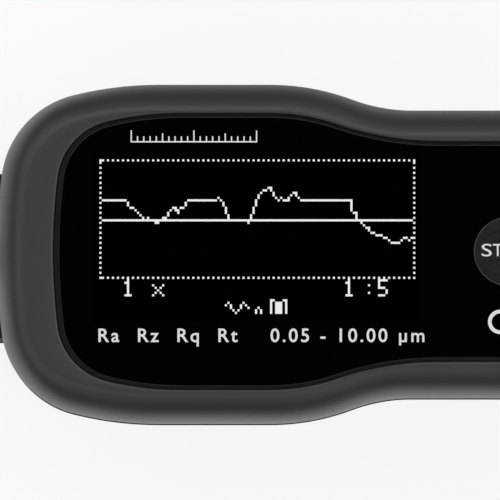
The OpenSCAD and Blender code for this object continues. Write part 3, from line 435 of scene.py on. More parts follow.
# Skin from one outline to the next, mirrored over the middle line; open ends are capped
def skinOutlines(rings, looped=False):
    bm = bmesh.new()
    chains = [walkOutline(bm, *ring) for ring in rings]
    pairs = list(zip(chains, chains[1:]))
    if looped:
        pairs.append((chains[-1], chains[0]))
    for first, second in pairs:
        bmesh.ops.bridge_loops(bm, edges=first + second)
    bmesh.ops.mirror(bm, geom=bm.verts[:] + bm.edges[:] + bm.faces[:], axis="Y", merge_dist=tiny)
    bmesh.ops.remove_doubles(bm, verts=bm.verts, dist=tiny)
    rims = [edge for edge in bm.edges if edge.is_boundary]
    if rims:
        bmesh.ops.holes_fill(bm, edges=rims, sides=0)
    bmesh.ops.recalc_face_normals(bm, faces=bm.faces)
    return bm


# Sine and cosine at even steps of a quarter turn
def quarterTurn(steps, first=0):
    for step in range(first, steps + 1):
        angle = math.pi / 2 * step / steps
        yield math.sin(angle), math.cos(angle)


def bevelEdges(bm, edges, offset, segments):
    bmesh.ops.bevel(bm, geom=edges, offset=offset, offset_type="OFFSET", segments=segments, profile=0.5,
                    affect="EDGES", material=-1)


# Put one bmesh into another
def join(bm, part):
    mesh = bpy.data.meshes.new("joining")
    part.to_mesh(mesh)
    part.free()
    bm.from_mesh(mesh)
    bpy.data.meshes.remove(mesh)


# Turned shape from (radius, height) points; the rings in rounds are bevelled
def turn(bm, profile, at=(0, 0, 0), axis="Z", rounds=None, steps=64):
    part = bmesh.new()
    points = [part.verts.new((radius, 0, height)) for radius, height in profile]
    lines = [part.edges.new(pair) for pair in zip(points, points[1:])]
    bmesh.ops.spin(part, geom=points + lines, cent=(0, 0, 0), axis=(0, 0, 1), dvec=(0, 0, 0),
                   angle=2 * math.pi, steps=steps, use_merge=True, use_normal_flip=False,
                   use_duplicate=False)
    bmesh.ops.remove_doubles(part, verts=part.verts, dist=weld)
    for index, size in (rounds or {}).items():
        radius, height = profile[index]
        ring = [edge for edge in part.edges
                if all(abs(end.co.z - height) < tiny and abs(end.co.xy.length - radius) < tiny
                       for end in edge.verts)]
        bevelEdges(part, ring, size, 4)
    bmesh.ops.recalc_face_normals(part, faces=part.faces)
    if axis != "Z":
        lay = Matrix.Rotation(math.pi / 2, 3, "Y") if axis == "X" else Matrix.Rotation(-math.pi / 2, 3, "X")
        bmesh.ops.rotate(part, verts=part.verts, cent=(0, 0, 0), matrix=lay)
    bmesh.ops.translate(part, verts=part.verts, vec=at)
    join(bm, part)


def rod(bm, radius, at, low, high, axis="Z", steps=48):
    place = {"X": (0, *at), "Y": (at[0], 0, at[-1]), "Z": (*at, 0)}[axis]
    turn(bm, [(0, low), (radius, low), (radius, high), (0, high)], place, axis, steps=steps)


def rods(bm, radius, places, low, high, steps=48):
    for at in places:
        rod(bm, radius, at, low, high, steps=steps)


# One straight hole; sizes as for a rod
def drill(bm, *sizes, **more):
    hole = bmesh.new()
    rod(hole, *sizes, **more)
    combine(bm, hole)


# Box between two corners, with its edges along one axis rounded
def roundedBox(bm, low, high, axis="X", radius=0, segments=8):
    part = bmesh.new()
    bmesh.ops.create_cube(part, size=1)
    low, high = Vector(low), Vector(high)
    bmesh.ops.scale(part, verts=part.verts, vec=high - low)
    bmesh.ops.translate(part, verts=part.verts, vec=(low + high) / 2)
    if radius:
        along = "XYZ".index(axis)
        edges = [e for e in part.edges if abs((e.verts[0].co - e.verts[1].co).normalized()[along]) > 0.9]
        bevelEdges(part, edges, radius, segments)
    join(bm, part)


# Housing: outline, levels and edges shared by both shells
topLow, topHigh = nodeBox("top_shell")
housing = {
    "wall": 2.2, "rimW": 5, "rimH": 13, "rimSteps": 18, "rimEdge": 0.4, "rimEdgeSteps": 4,
    "lip": 1.1, "chamfer": 0.25, "seamIn": 0.18, "grooveH": 1.45, "parting": topLow.z, "top": topHigh.z,
    "deckDrop": 1.8, "deckT": 2, "innerDrops": (0, 2, 5), "innerFoot": 1, "rootLap": 0.6,
    "postR": 3, "postZ": 20, "postGap": 0.1, "threadR": 1.22, "threadDepth": 13,
    "screwHoleR": 1.3, "counterR": 2.4, "counterZ": 14,
    "boardPostR": 2.6, "boardThreadR": 0.82, "boardThreadDepth": 3.6, "switchHoleR": 2,
}
bodyPlan = {
    "left": topLow.x, "right": topHigh.x, "headHalf": topHigh.y, "waistHalf": 24.15,
    "endR": 100, "cornerR": 16, "shoulderR": 60, "shoulderTurn": 14,
    "waistOutR": 40, "waistInR": 28.8, "waistStart": topLow.x + 46, "tailR": 16,
}
panelLow, panelHigh = nodeBox("front_panel")
panelPlan = {
    **bodyPlan, "left": panelLow.x, "right": panelHigh.x, "headHalf": panelHigh.y, "waistHalf": 17.7,
    "cornerR": 10, "shoulderR": 50, "waistOutR": 33.9, "waistInR": 55, "tailR": 10,
}
recessPlan = {**panelPlan, "left": panelPlan["left"] - 0.35}
recessW = 0.75
posts = [(x, side * y) for x, y in ((topLow.x + 9, 17), (topHigh.x - 10, 13.95)) for side in (-1, 1)]
boardTop = nodeBox("main_board")[1].z
boardPosts = [(topLow.x + x, y) for x, y in ((18, -18.8), (64, -18.8), (112, -12.95), (112, 12.95))]
membraneKeys = [(14.6, -11.8), (34, -9), (34, 9)]


def rimInset(z):
    base = housing["top"] - housing["rimH"]
    if z <= base:
        return 0
    return housing["rimW"] * (1 - math.sqrt(1 - ((z - base) / housing["rimH"]) ** 2))


def makeTopShell():
    h = housing
    deckHigh = h["top"] - h["deckDrop"]
    deckLow = deckHigh - h["deckT"]
    rimBase = h["top"] - h["rimH"]
    groove = h["parting"] + h["grooveH"]
    inner = [deckLow - drop for drop in h["innerDrops"]] + [rimBase + h["innerFoot"]]
    rings = [(bodyPlan, rimInset(z) + h["wall"], z) for z in inner]
    rings += [(bodyPlan, inset, z) for inset, z in (
        (h["wall"], groove), (h["lip"], groove), (h["lip"], h["parting"]),
        (h["seamIn"] + h["chamfer"], h["parting"]), (h["seamIn"], h["parting"] + h["chamfer"]),
        (0, rimBase))]
    for rise, run in quarterTurn(h["rimSteps"], 1):      # quarter ellipse up to the rim
        rings.append((bodyPlan, h["rimW"] * (1 - run), rimBase + h["rimH"] * rise))
    for rise, run in quarterTurn(h["rimEdgeSteps"]):     # soft inner edge of the bezel
        inset, drop = -recessW - h["rimEdge"] * (1 - rise), h["rimEdge"] * (1 - run)
        rings.append((recessPlan, inset, h["top"] - drop))
    rings.append((recessPlan, -recessW, deckHigh))
    bm = skinOutlines(rings)
    bosses = bmesh.new()
    rods(bosses, h["postR"], posts, h["postZ"] + h["postGap"], deckLow + h["rootLap"])
    rods(bosses, h["boardPostR"], boardPosts, boardTop, deckLow + h["rootLap"])
    combine(bm, bosses, "UNION")
    holes = bmesh.new()
    x0, x1, y0, y1 = panelLook["window"]
    roundedBox(holes, (x0, y0, deckLow - over), (x1, y1, deckHigh + over))
    rod(holes, keyR + keyGap, keyAt, deckLow - over, deckHigh + over)
    rods(holes, h["switchHoleR"], membraneKeys, deckLow - over, deckHigh + over)
    rods(holes, h["threadR"], posts, h["postZ"] - over, h["postZ"] + h["threadDepth"])
    rods(holes, h["boardThreadR"], boardPosts, boardTop - over, boardTop + h["boardThreadDepth"], steps=24)
    combine(bm, holes)
    makePiece(bm, "topShell", "housing", "grey_housing", ["top_shell"])


noseLow, noseHigh = nodeBox("nose_cap")
sole = {"draft": 0.4, "roundW": 2.4, "roundH": 3, "roundSteps": 8, "floorT": 1.6,
        "innerRise": 1, "innerW": 1, "innerH": 0.6, "innerFoot": 0.4,
        "tongueT": 1, "tongueH": 1.3, "tongueChamfer": 0.15,
        "earXs": (-51.5, -18), "earY": 17, "earR": 2.8, "earZ": 4,
        "earHoleR": 1.02, "earHoleDepth": 2,
        "portPostX": 59.5, "portPostY": 6, "portPostR": 2.2, "portHoleR": 0.82, "portHoleDepth": 6.1,
        "ribT": 1.2, "ribH": 6, "ribGap": 0.1, "ribEnd": 2, "insertWall": 1.2, "insertGap": 0.02,
        "noseGap": 0.15, "noseHoleR": 2.45, "portGap": 0.25, "portHoleEdge": 0.8, "cutIn": 2}


def makeBottomShell():
    h, s = housing, sole
    root = s["floorT"] - h["rootLap"]
    rings = [(bodyPlan, s["draft"] + s["roundW"] * (1 - rise), s["roundH"] * (1 - run))
             for rise, run in quarterTurn(s["roundSteps"])]      # quarter ellipse round the sole
    tongueIn, bevel = h["wall"] - s["tongueT"], s["tongueChamfer"]
    tongueZ = h["parting"] + s["tongueH"]
    rings += [(bodyPlan, inset, z) for inset, z in (
        (0, h["parting"] - h["chamfer"]), (h["chamfer"], h["parting"]),
        (tongueIn, h["parting"]), (tongueIn, tongueZ - bevel), (tongueIn + bevel, tongueZ),
        (h["wall"] - bevel, tongueZ), (h["wall"], tongueZ - bevel),
        (s["draft"] + h["wall"], s["roundH"] + s["innerRise"]),
        (s["draft"] + h["wall"] + s["innerW"], s["floorT"] + s["innerH"]),
        (s["draft"] + s["roundW"] + h["wall"] - s["innerFoot"], s["floorT"]))]
    bm = skinOutlines(rings)
    insertLow, insertHigh = nodeBox("stand_insert")
    insertAt = ((insertLow.x + insertHigh.x) / 2, 0)
    insertR = (insertHigh.x - insertLow.x) / 2
    bosses = bmesh.new()
    rods(bosses, h["postR"], posts, root, h["postZ"])
    rod(bosses, insertR + s["insertWall"], insertAt, root, insertHigh.z + over)
    ears = [(x, side * s["earY"]) for x in s["earXs"] for side in (-1, 1)]
    rods(bosses, s["earR"], ears, root, s["earZ"], steps=32)
    portPosts = [(s["portPostX"], side * s["portPostY"]) for side in (-1, 1)]
    boardZ = nodeBox("port_board")[0].z
    rods(bosses, s["portPostR"], portPosts, root, boardZ, steps=32)
    batteryLow, batteryHigh = nodeBox("battery_pack")
    ribIn = batteryHigh.y + s["ribGap"]
    for side in (-1, 1):
        near, far = sorted((side * ribIn, side * (ribIn + s["ribT"])))
        roundedBox(bosses, (batteryLow.x + s["ribEnd"], near, root),
                   (batteryHigh.x - s["ribEnd"], far, s["floorT"] + s["ribH"]))
    combine(bm, bosses, "UNION")
    holes = bmesh.new()
    rods(holes, s["earHoleR"], ears, s["earZ"] - s["earHoleDepth"], s["earZ"] + over, steps=24)
    rods(holes, s["portHoleR"], portPosts, boardZ - s["portHoleDepth"], boardZ + over, steps=24)
    gap = s["noseGap"]
    roundedBox(holes, (topLow.x - s["cutIn"], noseLow.y - gap, -noseHigh.z),
               (noseHigh.x + gap, noseHigh.y + gap, noseHigh.z + gap), "X", s["noseHoleR"])
    for at in posts:
        turn(holes, [(0, -over), (h["counterR"], -over), (h["counterR"], h["counterZ"]),
                     (h["screwHoleR"], h["counterZ"]), (h["screwHoleR"], h["postZ"] + over),
                     (0, h["postZ"] + over)], (*at, 0), steps=48)
    rod(holes, insertR + s["insertGap"], insertAt, -over, insertHigh.z)
    portLow, portHigh = nodeBox("port_socket")
    gap = s["portGap"]
    roundedBox(holes, (topHigh.x - h["wall"] - s["cutIn"], portLow.y - gap, portLow.z - gap),
               (topHigh.x + over, portHigh.y + gap, portHigh.z + gap), "X", s["portHoleEdge"])
    combine(bm, holes)
    makePiece(bm, "bottomShell", "housing", "black_housing", ["bottom_shell"])


film = {"edge": 0.2, "edgeSteps": 4, "lap": 0.22}       # the film laps over the seal by this much


def makePanel():
    low, high = panelLow.z, panelHigh.z
    edge, lap = film["edge"], film["lap"]
    rings = [(panelPlan, -lap, low), (panelPlan, -lap, high - edge)]
    for rise, run in quarterTurn(film["edgeSteps"], 1):
        rings.append((panelPlan, edge * (1 - run) - lap, high - edge * (1 - rise)))
    bm = skinOutlines(rings)
    drill(bm, keyR + keyGap, keyAt, low - over, high + over, steps=72)
    makePiece(bm, "frontPanel", "housing", "panel", ["front_panel"])


sealStrip = {"gap": 0.03, "edge": 0.12, "edgeMiddle": 0.3, "sharpAngle": 50}


def makeSeal():
    low, high = nodeBox("panel_seal")
    gap, edge = sealStrip["gap"], sealStrip["edge"]
    part = edge * sealStrip["edgeMiddle"]
    inner, outer = -film["lap"] - gap, gap - recessW
    rings = [(panelPlan, inner, low.z), (recessPlan, outer, low.z), (recessPlan, outer, high.z - edge),
             (recessPlan, outer + part, high.z - part), (recessPlan, outer + edge, high.z),
             (panelPlan, inner - edge, high.z), (panelPlan, inner - part, high.z - part),
             (panelPlan, inner, high.z - edge)]
    bm = skinOutlines(rings, looped=True)
    makePiece(bm, "panelSeal", "housing", "seal", ["panel_seal"], sharpAngle=sealStrip["sharpAngle"])


makeTopShell()
makeBottomShell()
makePanel()
makeSeal()
print("housing done")

startKey = {"dome": 0.25, "edge": 0.35, "flangeW": 0.9, "flangeT": 1.2, "flangeGap": 0.05,
            "stemR": 2, "footBevelW": 0.4, "footBevelH": 0.1}
domeShape = [(0, 0), (0.35, 0.1), (0.7, 0.45), (1, 1)]      # shares of the radius and of the drop


# How far the key's face lies below its middle
def domeDrop(radius):
    share = radius / keyR
    for (near, high), (far, low) in zip(domeShape, domeShape[1:]):
        if share <= far:
            break
    return startKey["dome"] * (high + (low - high) * (share - near) / (far - near))


def makeStartKey():
    k = startKey
    flange = housing["top"] - housing["deckDrop"] - housing["deckT"] - k["flangeGap"]
    foot = nodeBox("switch_plunger")[1].z
    bm = bmesh.new()
    profile = [(keyR * share, keyTop - k["dome"] * drop) for share, drop in domeShape]
    profile += [(keyR, flange), (keyR + k["flangeW"], flange), (keyR + k["flangeW"], flange - k["flangeT"]),
                (k["stemR"], flange - k["flangeT"]), (k["stemR"], foot + k["footBevelH"]),
                (k["stemR"] - k["footBevelW"], foot), (0, foot)]
    turn(bm, profile, (*keyAt, 0), rounds={len(domeShape) - 1: k["edge"]}, steps=96)
    makePiece(bm, "startKey", "start_button", "key", ["start_key"])


makeStartKey()
print("start key done")

# Nose cap: hollow block with rounded front edges, two screw bosses and the pickup's opening
nose = {"wall": 2, "frontR": 4, "topR": 2.2, "softR": 0.4, "hollowR": 1.2, "bossR": 2.5,
        "screwY": 10, "screwZ": 18, "counterR": 2, "counterDepth": 2.2, "counterChamfer": 0.2,
        "shankR": 1.1, "pickupZ": 6.5, "pickupHoleR": 3.7, "mouth": 0.5}


def makeNoseCap():
    n = nose
    bm = bmesh.new()
    roundedBox(bm, noseLow, noseHigh)
    upright = [edge for edge in bm.edges if all(end.co.x < noseLow.x + tiny for end in edge.verts)
               and abs(edge.verts[0].co.z - edge.verts[1].co.z) > 1]
    bevelEdges(bm, upright, n["frontR"], 14)
    for level, radius, segments in ((noseHigh.z, n["topR"], 10), (noseLow.z, n["softR"], 4)):
        loop = [edge for edge in bm.edges if all(abs(end.co.z - level) < tiny for end in edge.verts)
                and min(end.co.x for end in edge.verts) < noseHigh.x - tiny]
        bevelEdges(bm, loop, radius, segments)
    hollow = bmesh.new()
    roundedBox(hollow, noseLow + Vector((n["wall"],) * 3),
               noseHigh + Vector((over, -n["wall"], -n["wall"])), "X", n["hollowR"])
    combine(bm, hollow)
    bosses = bmesh.new()
    bossEnd = nodeBox("drive_frame")[0].x
    inside = noseLow.x + n["wall"]
    for side in (-1, 1):
        at = (side * n["screwY"], n["screwZ"])
        rod(bosses, n["bossR"], at, inside - housing["rootLap"], bossEnd, "X")
    combine(bm, bosses, "UNION")
    holes = bmesh.new()
    front, mouth, radius = noseLow.x, n["mouth"], n["pickupHoleR"]
    turn(holes, [(0, front - over), (radius + mouth + over, front - over), (radius + mouth, front),
                 (radius, front + mouth), (radius, inside + over), (0, inside + over)],
         (0, 0, n["pickupZ"]), "X")
    seat, chamfer, radius = front + n["counterDepth"], n["counterChamfer"], n["counterR"]
    for side in (-1, 1):
        turn(holes, [(0, front - over), (radius + chamfer + over, front - over), (radius, front + chamfer),
                     (radius, seat), (n["shankR"], seat), (n["shankR"], bossEnd + over),
                     (0, bossEnd + over)],
             (0, side * n["screwY"], n["screwZ"]), "X", steps=48)
    combine(bm, holes)
    makePiece(bm, "noseCap", "housing", "black_housing", ["nose_cap"])


# Cap screws: rounded head, hexagon socket and a thread of close ridges
screwSets = {
    "noseScrews": {"node": "nose_screws", "axis": "X",
                   "places": [(side * nose["screwY"], nose["screwZ"]) for side in (-1, 1)],
                   "shankR": 1, "headR": 1.9, "headH": 1.2, "pitch": 0.4},
    "housingScrews": {"node": "housing_screws", "axis": "Z", "places": posts,
                      "shankR": 1.2, "headR": 2.2, "headH": 1.6, "pitch": 0.6},
}
screwShape = {"ridge": 0.35, "threadShare": 0.7, "tip": 0.3, "headRound": 0.25,
              "socketR": 0.5, "socketDepth": 0.5, "socketEnd": 0.7}


# Crests and valleys of a thread, as points of a turned profile
def thread(crest, valley, start, pitch, count):
    heights = [start + index * pitch for index in range(count)]
    return [point for z in heights for point in ((crest, z), (valley, z + pitch / 2))]


def makeScrews(name):
    s, shape = screwSets[name], screwShape
    along = "XYZ".index(s["axis"])
    low, high = (corner[along] for corner in nodeBox(s["node"]))
    seat = low + s["headH"]
    tip = shape["tip"]
    profile = [(0, low), (s["headR"], low), (s["headR"], seat), (s["shankR"], seat)]
    count = int((high - seat) * shape["threadShare"] / s["pitch"])
    start = high - tip - count * s["pitch"]
    profile += thread(s["shankR"], s["shankR"] - s["pitch"] * shape["ridge"], start, s["pitch"], count)
    profile += [(s["shankR"], high - tip), (s["shankR"] - tip, high), (0, high)]
    key = s["headR"] * shape["socketR"]
    socket = [(0, low - over), (key, low - over), (key, low + s["headH"] * shape["socketDepth"]),
              (0, low + s["headH"] * shape["socketEnd"])]
    bm = bmesh.new()
    sockets = bmesh.new()
    for at in s["places"]:
        place = (0, *at) if s["axis"] == "X" else (*at, 0)
        turn(bm, profile, place, s["axis"], {1: shape["headRound"]}, steps=32)
        turn(sockets, socket, place, s["axis"], steps=6)
    combine(bm, sockets)
    makePiece(bm, name, "housing", "screw_steel", [s["node"]])


# Stand insert: brass bush with a waist outside, a chamfered mouth and a thread inside
standInsert = {"coreR": 2.5, "threadDepth": 0.35, "pitch": 1, "mouth": 0.4, "footW": 0.1, "footH": 0.3,
               "collarH": 2.2, "waistDepth": 0.25, "waistZ": 2.5}


def makeStandInsert():
    s = standInsert
    low, high = nodeBox("stand_insert")
    bottom, top = low.z, high.z
    outer, core, waist = (high.x - low.x) / 2, s["coreR"], (high.x - low.x) / 2 - s["waistDepth"]
    profile = [(core + s["mouth"], bottom), (outer - s["footW"], bottom), (outer, bottom + s["footH"]),
               (outer, bottom + s["collarH"]), (waist, bottom + s["waistZ"]), (waist, top - s["waistZ"]),
               (outer, top - s["collarH"]), (outer, top), (core, top)]
    turns = int((top - bottom - s["pitch"]) / s["pitch"])
    start = top - s["mouth"]
    profile += thread(core, core + s["threadDepth"], start, -s["pitch"], turns)
    profile += [(core, start - turns * s["pitch"]), (core + s["mouth"], bottom)]
    bm = bmesh.new()
    turn(bm, profile, ((low.x + high.x) / 2, (low.y + high.y) / 2, 0), steps=72)
    makePiece(bm, "standInsert", "housing", "brass", ["stand_insert"])


# Port: pressed oval sleeve with a contact tongue
port = {"cornerR": 1, "sheet": 0.35, "depth": 5, "rimEdge": 0.12,
        "tongueHalf": 2.6, "tongueT": 0.6, "tongueBack": 0.6, "tongueRoot": 0.3, "tongueR": 0.3,
        "contacts": 6, "contactPitch": 0.8, "contactHalf": 0.15, "contactRise": 0.04, "contactEdge": 0.03,
        "contactXs": (3.6, 1)}


def makePort():
    p = port
    low, high = nodeBox("port_socket")
    middle = (low.z + high.z) / 2
    mouth = high.x
    bm = bmesh.new()
    roundedBox(bm, low, high, "X", p["cornerR"])
    rim = [edge for edge in bm.edges if all(end.co.x > mouth - tiny for end in edge.verts)]
    bevelEdges(bm, rim, p["rimEdge"], 3)
    hollow = bmesh.new()
    sheet = Vector((0, p["sheet"], p["sheet"]))
    roundedBox(hollow, Vector((mouth - p["depth"], low.y, low.z)) + sheet,
               Vector((mouth + over, high.y, high.z)) - sheet, "X", p["cornerR"] - p["sheet"])
    combine(bm, hollow)
    half, thick = p["tongueHalf"], p["tongueT"] / 2
    roundedBox(bm, (mouth - p["depth"] - p["tongueRoot"], -half, middle - thick),
               (mouth - p["tongueBack"], half, middle + thick), "Z", p["tongueR"], 3)
    far, near = (mouth - x for x in p["contactXs"])
    wide, rise = p["contactHalf"], p["contactRise"]
    for index in range(p["contacts"]):
        y = (index - (p["contacts"] - 1) / 2) * p["contactPitch"]
        for face in (middle - thick, middle + thick):
            roundedBox(bm, (far, y - wide, face - rise), (near, y + wide, face + rise),
                       "X", p["contactEdge"], 2)
    makePiece(bm, "portSocket", "housing", "display_metal", ["port_socket"])


makeNoseCap()
for screwSet in screwSets:
    makeScrews(screwSet)
makeStandInsert()
makePort()
print("nose, screws, insert and port done")

# Pickup: tube with turned grooves, bored nose and polished skid, all on the carriage
pickup = {"tubeR": 3, "boreR": 2.4, "tubeEdge": 0.2, "axisZ": 6.5, "pivotR": 0.52, "pivotX": -86,
          "grooves": (-90.6, -89.4, -77, -76.2), "grooveDepth": 0.12, "grooveW": 0.3, "grooveFlank": 0.08,
          "noseR": 2.4, "noseRound": 1.2, "noseBoreR": 1.4, "noseFit": 0.04,
          "stylusX": -100.5, "stylusHoleR": 0.75, "boreAhead": 1.4,
          "slotGap": 0.1, "slotSide": 0.02, "slotR": 0.5,
          "skidCurveR": 45, "skidCurveSteps": 1080, "skidFoot": 4.6, "skidEdge": 0.5, "skidShoulder": 1}


def makePickupTube():
    k = pickup
    low, high = nodeBox("pickup_tube")
    radius, valley, flank = k["tubeR"], k["tubeR"] - k["grooveDepth"], k["grooveFlank"]
    profile = [(k["boreR"], low.x), (radius, low.x)]
    for start in k["grooves"]:
        end = start + k["grooveW"]
        profile += [(radius, start), (valley, start + flank), (valley, end - flank), (radius, end)]
    profile += [(radius, high.x), (k["boreR"], high.x), (k["boreR"], low.x)]
    bm = bmesh.new()
    turn(bm, profile, (0, 0, k["axisZ"]), "X", {1: k["tubeEdge"]}, steps=96)
    drill(bm, k["pivotR"], (k["pivotX"], k["axisZ"]), -radius - over, radius + over, "Y", 32)
    makePiece(bm, "pickupTube", "traverse_carriage", "steel", ["pickup_tube"])


def makePickupNose():
    k = pickup
    start, end = (corner.x for corner in nodeBox("pickup_nose"))
    tubeStart = nodeBox("pickup_tube")[0].x
    skidLow, skidHigh = nodeBox("skid")
    boreStart = k["stylusX"] - k["boreAhead"]
    spigot = k["noseR"] - k["noseFit"]
    bm = bmesh.new()
    turn(bm, [(0, start), (k["noseR"], start), (k["noseR"], tubeStart), (spigot, tubeStart), (spigot, end),
              (k["noseBoreR"], end), (k["noseBoreR"], boreStart), (0, boreStart)],
         (0, 0, k["axisZ"]), "X", {1: k["noseRound"]}, steps=96)
    slot = bmesh.new()
    room = Vector((k["slotGap"], k["slotSide"], 0))
    roundedBox(slot, Vector((*skidLow.xy, -over)) - room, skidHigh + room, "Z", k["slotR"], 4)
    combine(bm, slot)
    drill(bm, k["stylusHoleR"], (k["stylusX"], 0), skidHigh.z - over, k["axisZ"], steps=32)
    makePiece(bm, "pickupNose", "traverse_carriage", "steel", ["pickup_nose"])


def makeSkid():
    k = pickup
    low, high = nodeBox("skid")
    bm = bmesh.new()
    roundedBox(bm, low, high, "Z", k["skidEdge"], 6)
    rise, run = high.z - k["skidShoulder"] - low.z, (high.x - low.x - k["skidFoot"]) / 2
    lean = Vector((rise, 0, -run)).normalized()
    for side in (-1, 1):       # ends taper down to the foot
        bmesh.ops.bisect_plane(bm, geom=bm.verts[:] + bm.edges[:] + bm.faces[:], dist=0.0001,
                               plane_co=(k["stylusX"] + side * k["skidFoot"] / 2, 0, low.z),
                               plane_no=(side * lean.x, 0, lean.z), clear_outer=True)
        bmesh.ops.holes_fill(bm, edges=[edge for edge in bm.edges if edge.is_boundary], sides=0)
    wheel = bmesh.new()
    rod(wheel, k["skidCurveR"], (k["stylusX"], low.z + k["skidCurveR"]), low.y - over, high.y + over, "Y",
        k["skidCurveSteps"])
    combine(bm, wheel, "INTERSECT")
    drill(bm, k["stylusHoleR"], (k["stylusX"], 0), -over, high.z + over, steps=32)
    makePiece(bm, "skidPad", "traverse_carriage", "skid_metal", ["skid"])


makePickupTube()
makePickupNose()
makeSkid()
print("pickup done")

inkThick = 0.02
inkLow, inkHigh = panelHigh.z, panelHigh.z + inkThick

# Display picture: cells of a dot matrix, counted from the picture's upper left corner
picture = {
    "origin": (-52.36, 15.27), "pitch": (0.4206, 0.419), "cell": 0.83,
    "columns": 126, "rows": 48, "middleRow": 24,
    "trace": [(1, 16), (10, 16), (11, 17), (11, 18), (12, 19), (13, 19), (18, 24), (19, 23), (20, 24),
              (22, 25), (23, 25), (25, 23), (26, 23), (27, 22), (27, 21), (29, 19), (30, 19), (30, 20),
              (31, 21), (31, 20), (32, 19), (33, 19), (34, 18), (34, 17), (35, 16), (46, 16), (47, 15),
              (49, 17), (49, 18), (50, 19), (50, 21), (51, 22), (51, 24), (58, 24), (59, 25), (60, 24),
              (60, 22), (61, 21), (61, 19), (62, 18), (62, 16), (63, 15), (63, 14), (65, 12), (66, 12),
              (67, 11), (68, 11), (69, 13), (69, 14), (71, 16), (72, 15), (73, 16), (75, 16), (75, 15),
              (77, 13), (78, 13), (78, 14), (80, 16), (100, 16), (100, 20), (101, 21), (102, 21),
              (102, 23), (106, 27), (107, 27), (107, 28), (110, 30), (112, 30), (113, 31), (114, 31),
              (116, 33), (119, 33), (121, 31), (122, 31), (123, 32), (124, 31), (125, 31)],
}
dotGlyphs = {
    "one": [".#.", ".#.", "##.", ".#.", ".#.", ".#.", ".#.", "###"],
    "five": ["####", "#...", "#...", "###.", "...#", "...#", "###."],
    "cross": ["#...#", ".#.#.", "..#..", ".#.#.", "#...#"],
    "colon": ["#", ".", ".", "#"],
    "wave": [".#.....#..", "#.#...#.#.", "..#...#..#", "...#.#....", "....#....."],
    "peak": [".#.", "#.#", "#.#"],
    "cell": ["##...##", "#.###.#", "#.###.#", "#.###.#", "#.###.#", "#.###.#"],
}
dotMarks = [("one", 10, 47), ("cross", 21, 50), ("one", 98, 47), ("colon", 107, 50), ("five", 111, 48),
            ("wave", 50, 57), ("peak", 62, 59), ("cell", 68, 56)]


def traceCells(points):
    cells = set()
    for (x0, y0), (x1, y1) in zip(points, points[1:]):
        steps = max(abs(x1 - x0), abs(y1 - y0))
        for step in range(steps + 1):
            cells.add((round(x0 + (x1 - x0) * step / steps), round(y0 + (y1 - y0) * step / steps)))
    return cells


def makePicture():
    p = picture
    cells = traceCells(p["trace"])
    right, bottom = p["columns"] - 1, p["rows"] - 1
    cells |= {(column, p["middleRow"]) for column in range(1, right)}
    cells |= {(column, row) for column in [0, *range(1, right, 2), right] for row in (0, bottom)}
    cells |= {(column, row) for row in range(1, bottom, 2) for column in (0, right)}
    for glyph, column, row in dotMarks:
        for down, line in enumerate(dotGlyphs[glyph]):
            cells |= {(column + across, row + down) for across, mark in enumerate(line) if mark == "#"}
    bm = bmesh.new()
    left, top = p["origin"]
    pitchX, pitchY = p["pitch"]
    halfX, halfY = pitchX * p["cell"] / 2, pitchY * p["cell"] / 2
    for column, row in sorted(cells):
        x, y = left + column * pitchX, top - row * pitchY
        if (column - 1, row) not in cells:        # a run of lit cells is one bar
            end = column
            while (end + 1, row) in cells:
                end += 1
            far = left + end * pitchX + halfX
            roundedBox(bm, (x - halfX, y - halfY, inkLow), (far, y + halfY, inkHigh))
        if (column, row + 1) in cells:            # and is joined to what is lit below it
            wide = {(column + 1, row), (column + 1, row + 1)} <= cells
            reach = pitchX - halfX if wide else halfX
            roundedBox(bm, (x - halfX, y - pitchY + halfY, inkLow), (x + reach, y - halfY, inkHigh))
    makePiece(bm, "displayPicture", "housing", "glass", finish=litPixels)


# Printed marks: START on the key, the range line, the ring and arrows of the membrane keys, and a scale
prints = {"capHeight": 0.729,
          "rangeText": "Ra  Rz  Rq  Rt    0.05 - 10.00 µm", "rangeHeight": 2.35, "rangeLeft": -52.9,
          "rangeY": -13.98, "rangeSpacing": 1.235, "rangeWeight": 0.012,
          "startHeight": 2.2, "startLeft": -4.5, "startY": 0.28, "startGap": 0.17, "startLift": 0.016,
          "startLetters": [("S", 1.7), ("T", 1.66), ("A", 1.75), ("R", 1.6), ("T", 1.66)],
          "ringR": 2.04, "ringStroke": 0.62, "arrowR": 1.7,
          "scaleLeft": -47.2, "scaleY": 18.5, "scaleLength": 21, "scaleSteps": 20, "scaleStroke": 0.22,
          "tickHeights": [(10, 1.8), (5, 1.3), (1, 0.8)]}      # of every tenth, fifth and other tick


# Flat lettering at size 1: a text made a mesh
def letterMesh(words, spacing=1, weight=0):
    curve = bpy.data.curves.new("lettering", "FONT")
    curve.body = words
    curve.extrude = inkThick / 2
    curve.offset = weight
    curve.space_character = spacing
    curve.resolution_u = 4
    lettering = addObject("lettering", curve)
    graph = bpy.context.evaluated_depsgraph_get()
    mesh = bpy.data.meshes.new_from_object(lettering.evaluated_get(graph))
    bpy.data.objects.remove(lettering)
    bpy.data.curves.remove(curve)
    bm = bmesh.new()
    bm.from_mesh(mesh)
    bpy.data.meshes.remove(mesh)
    return bm


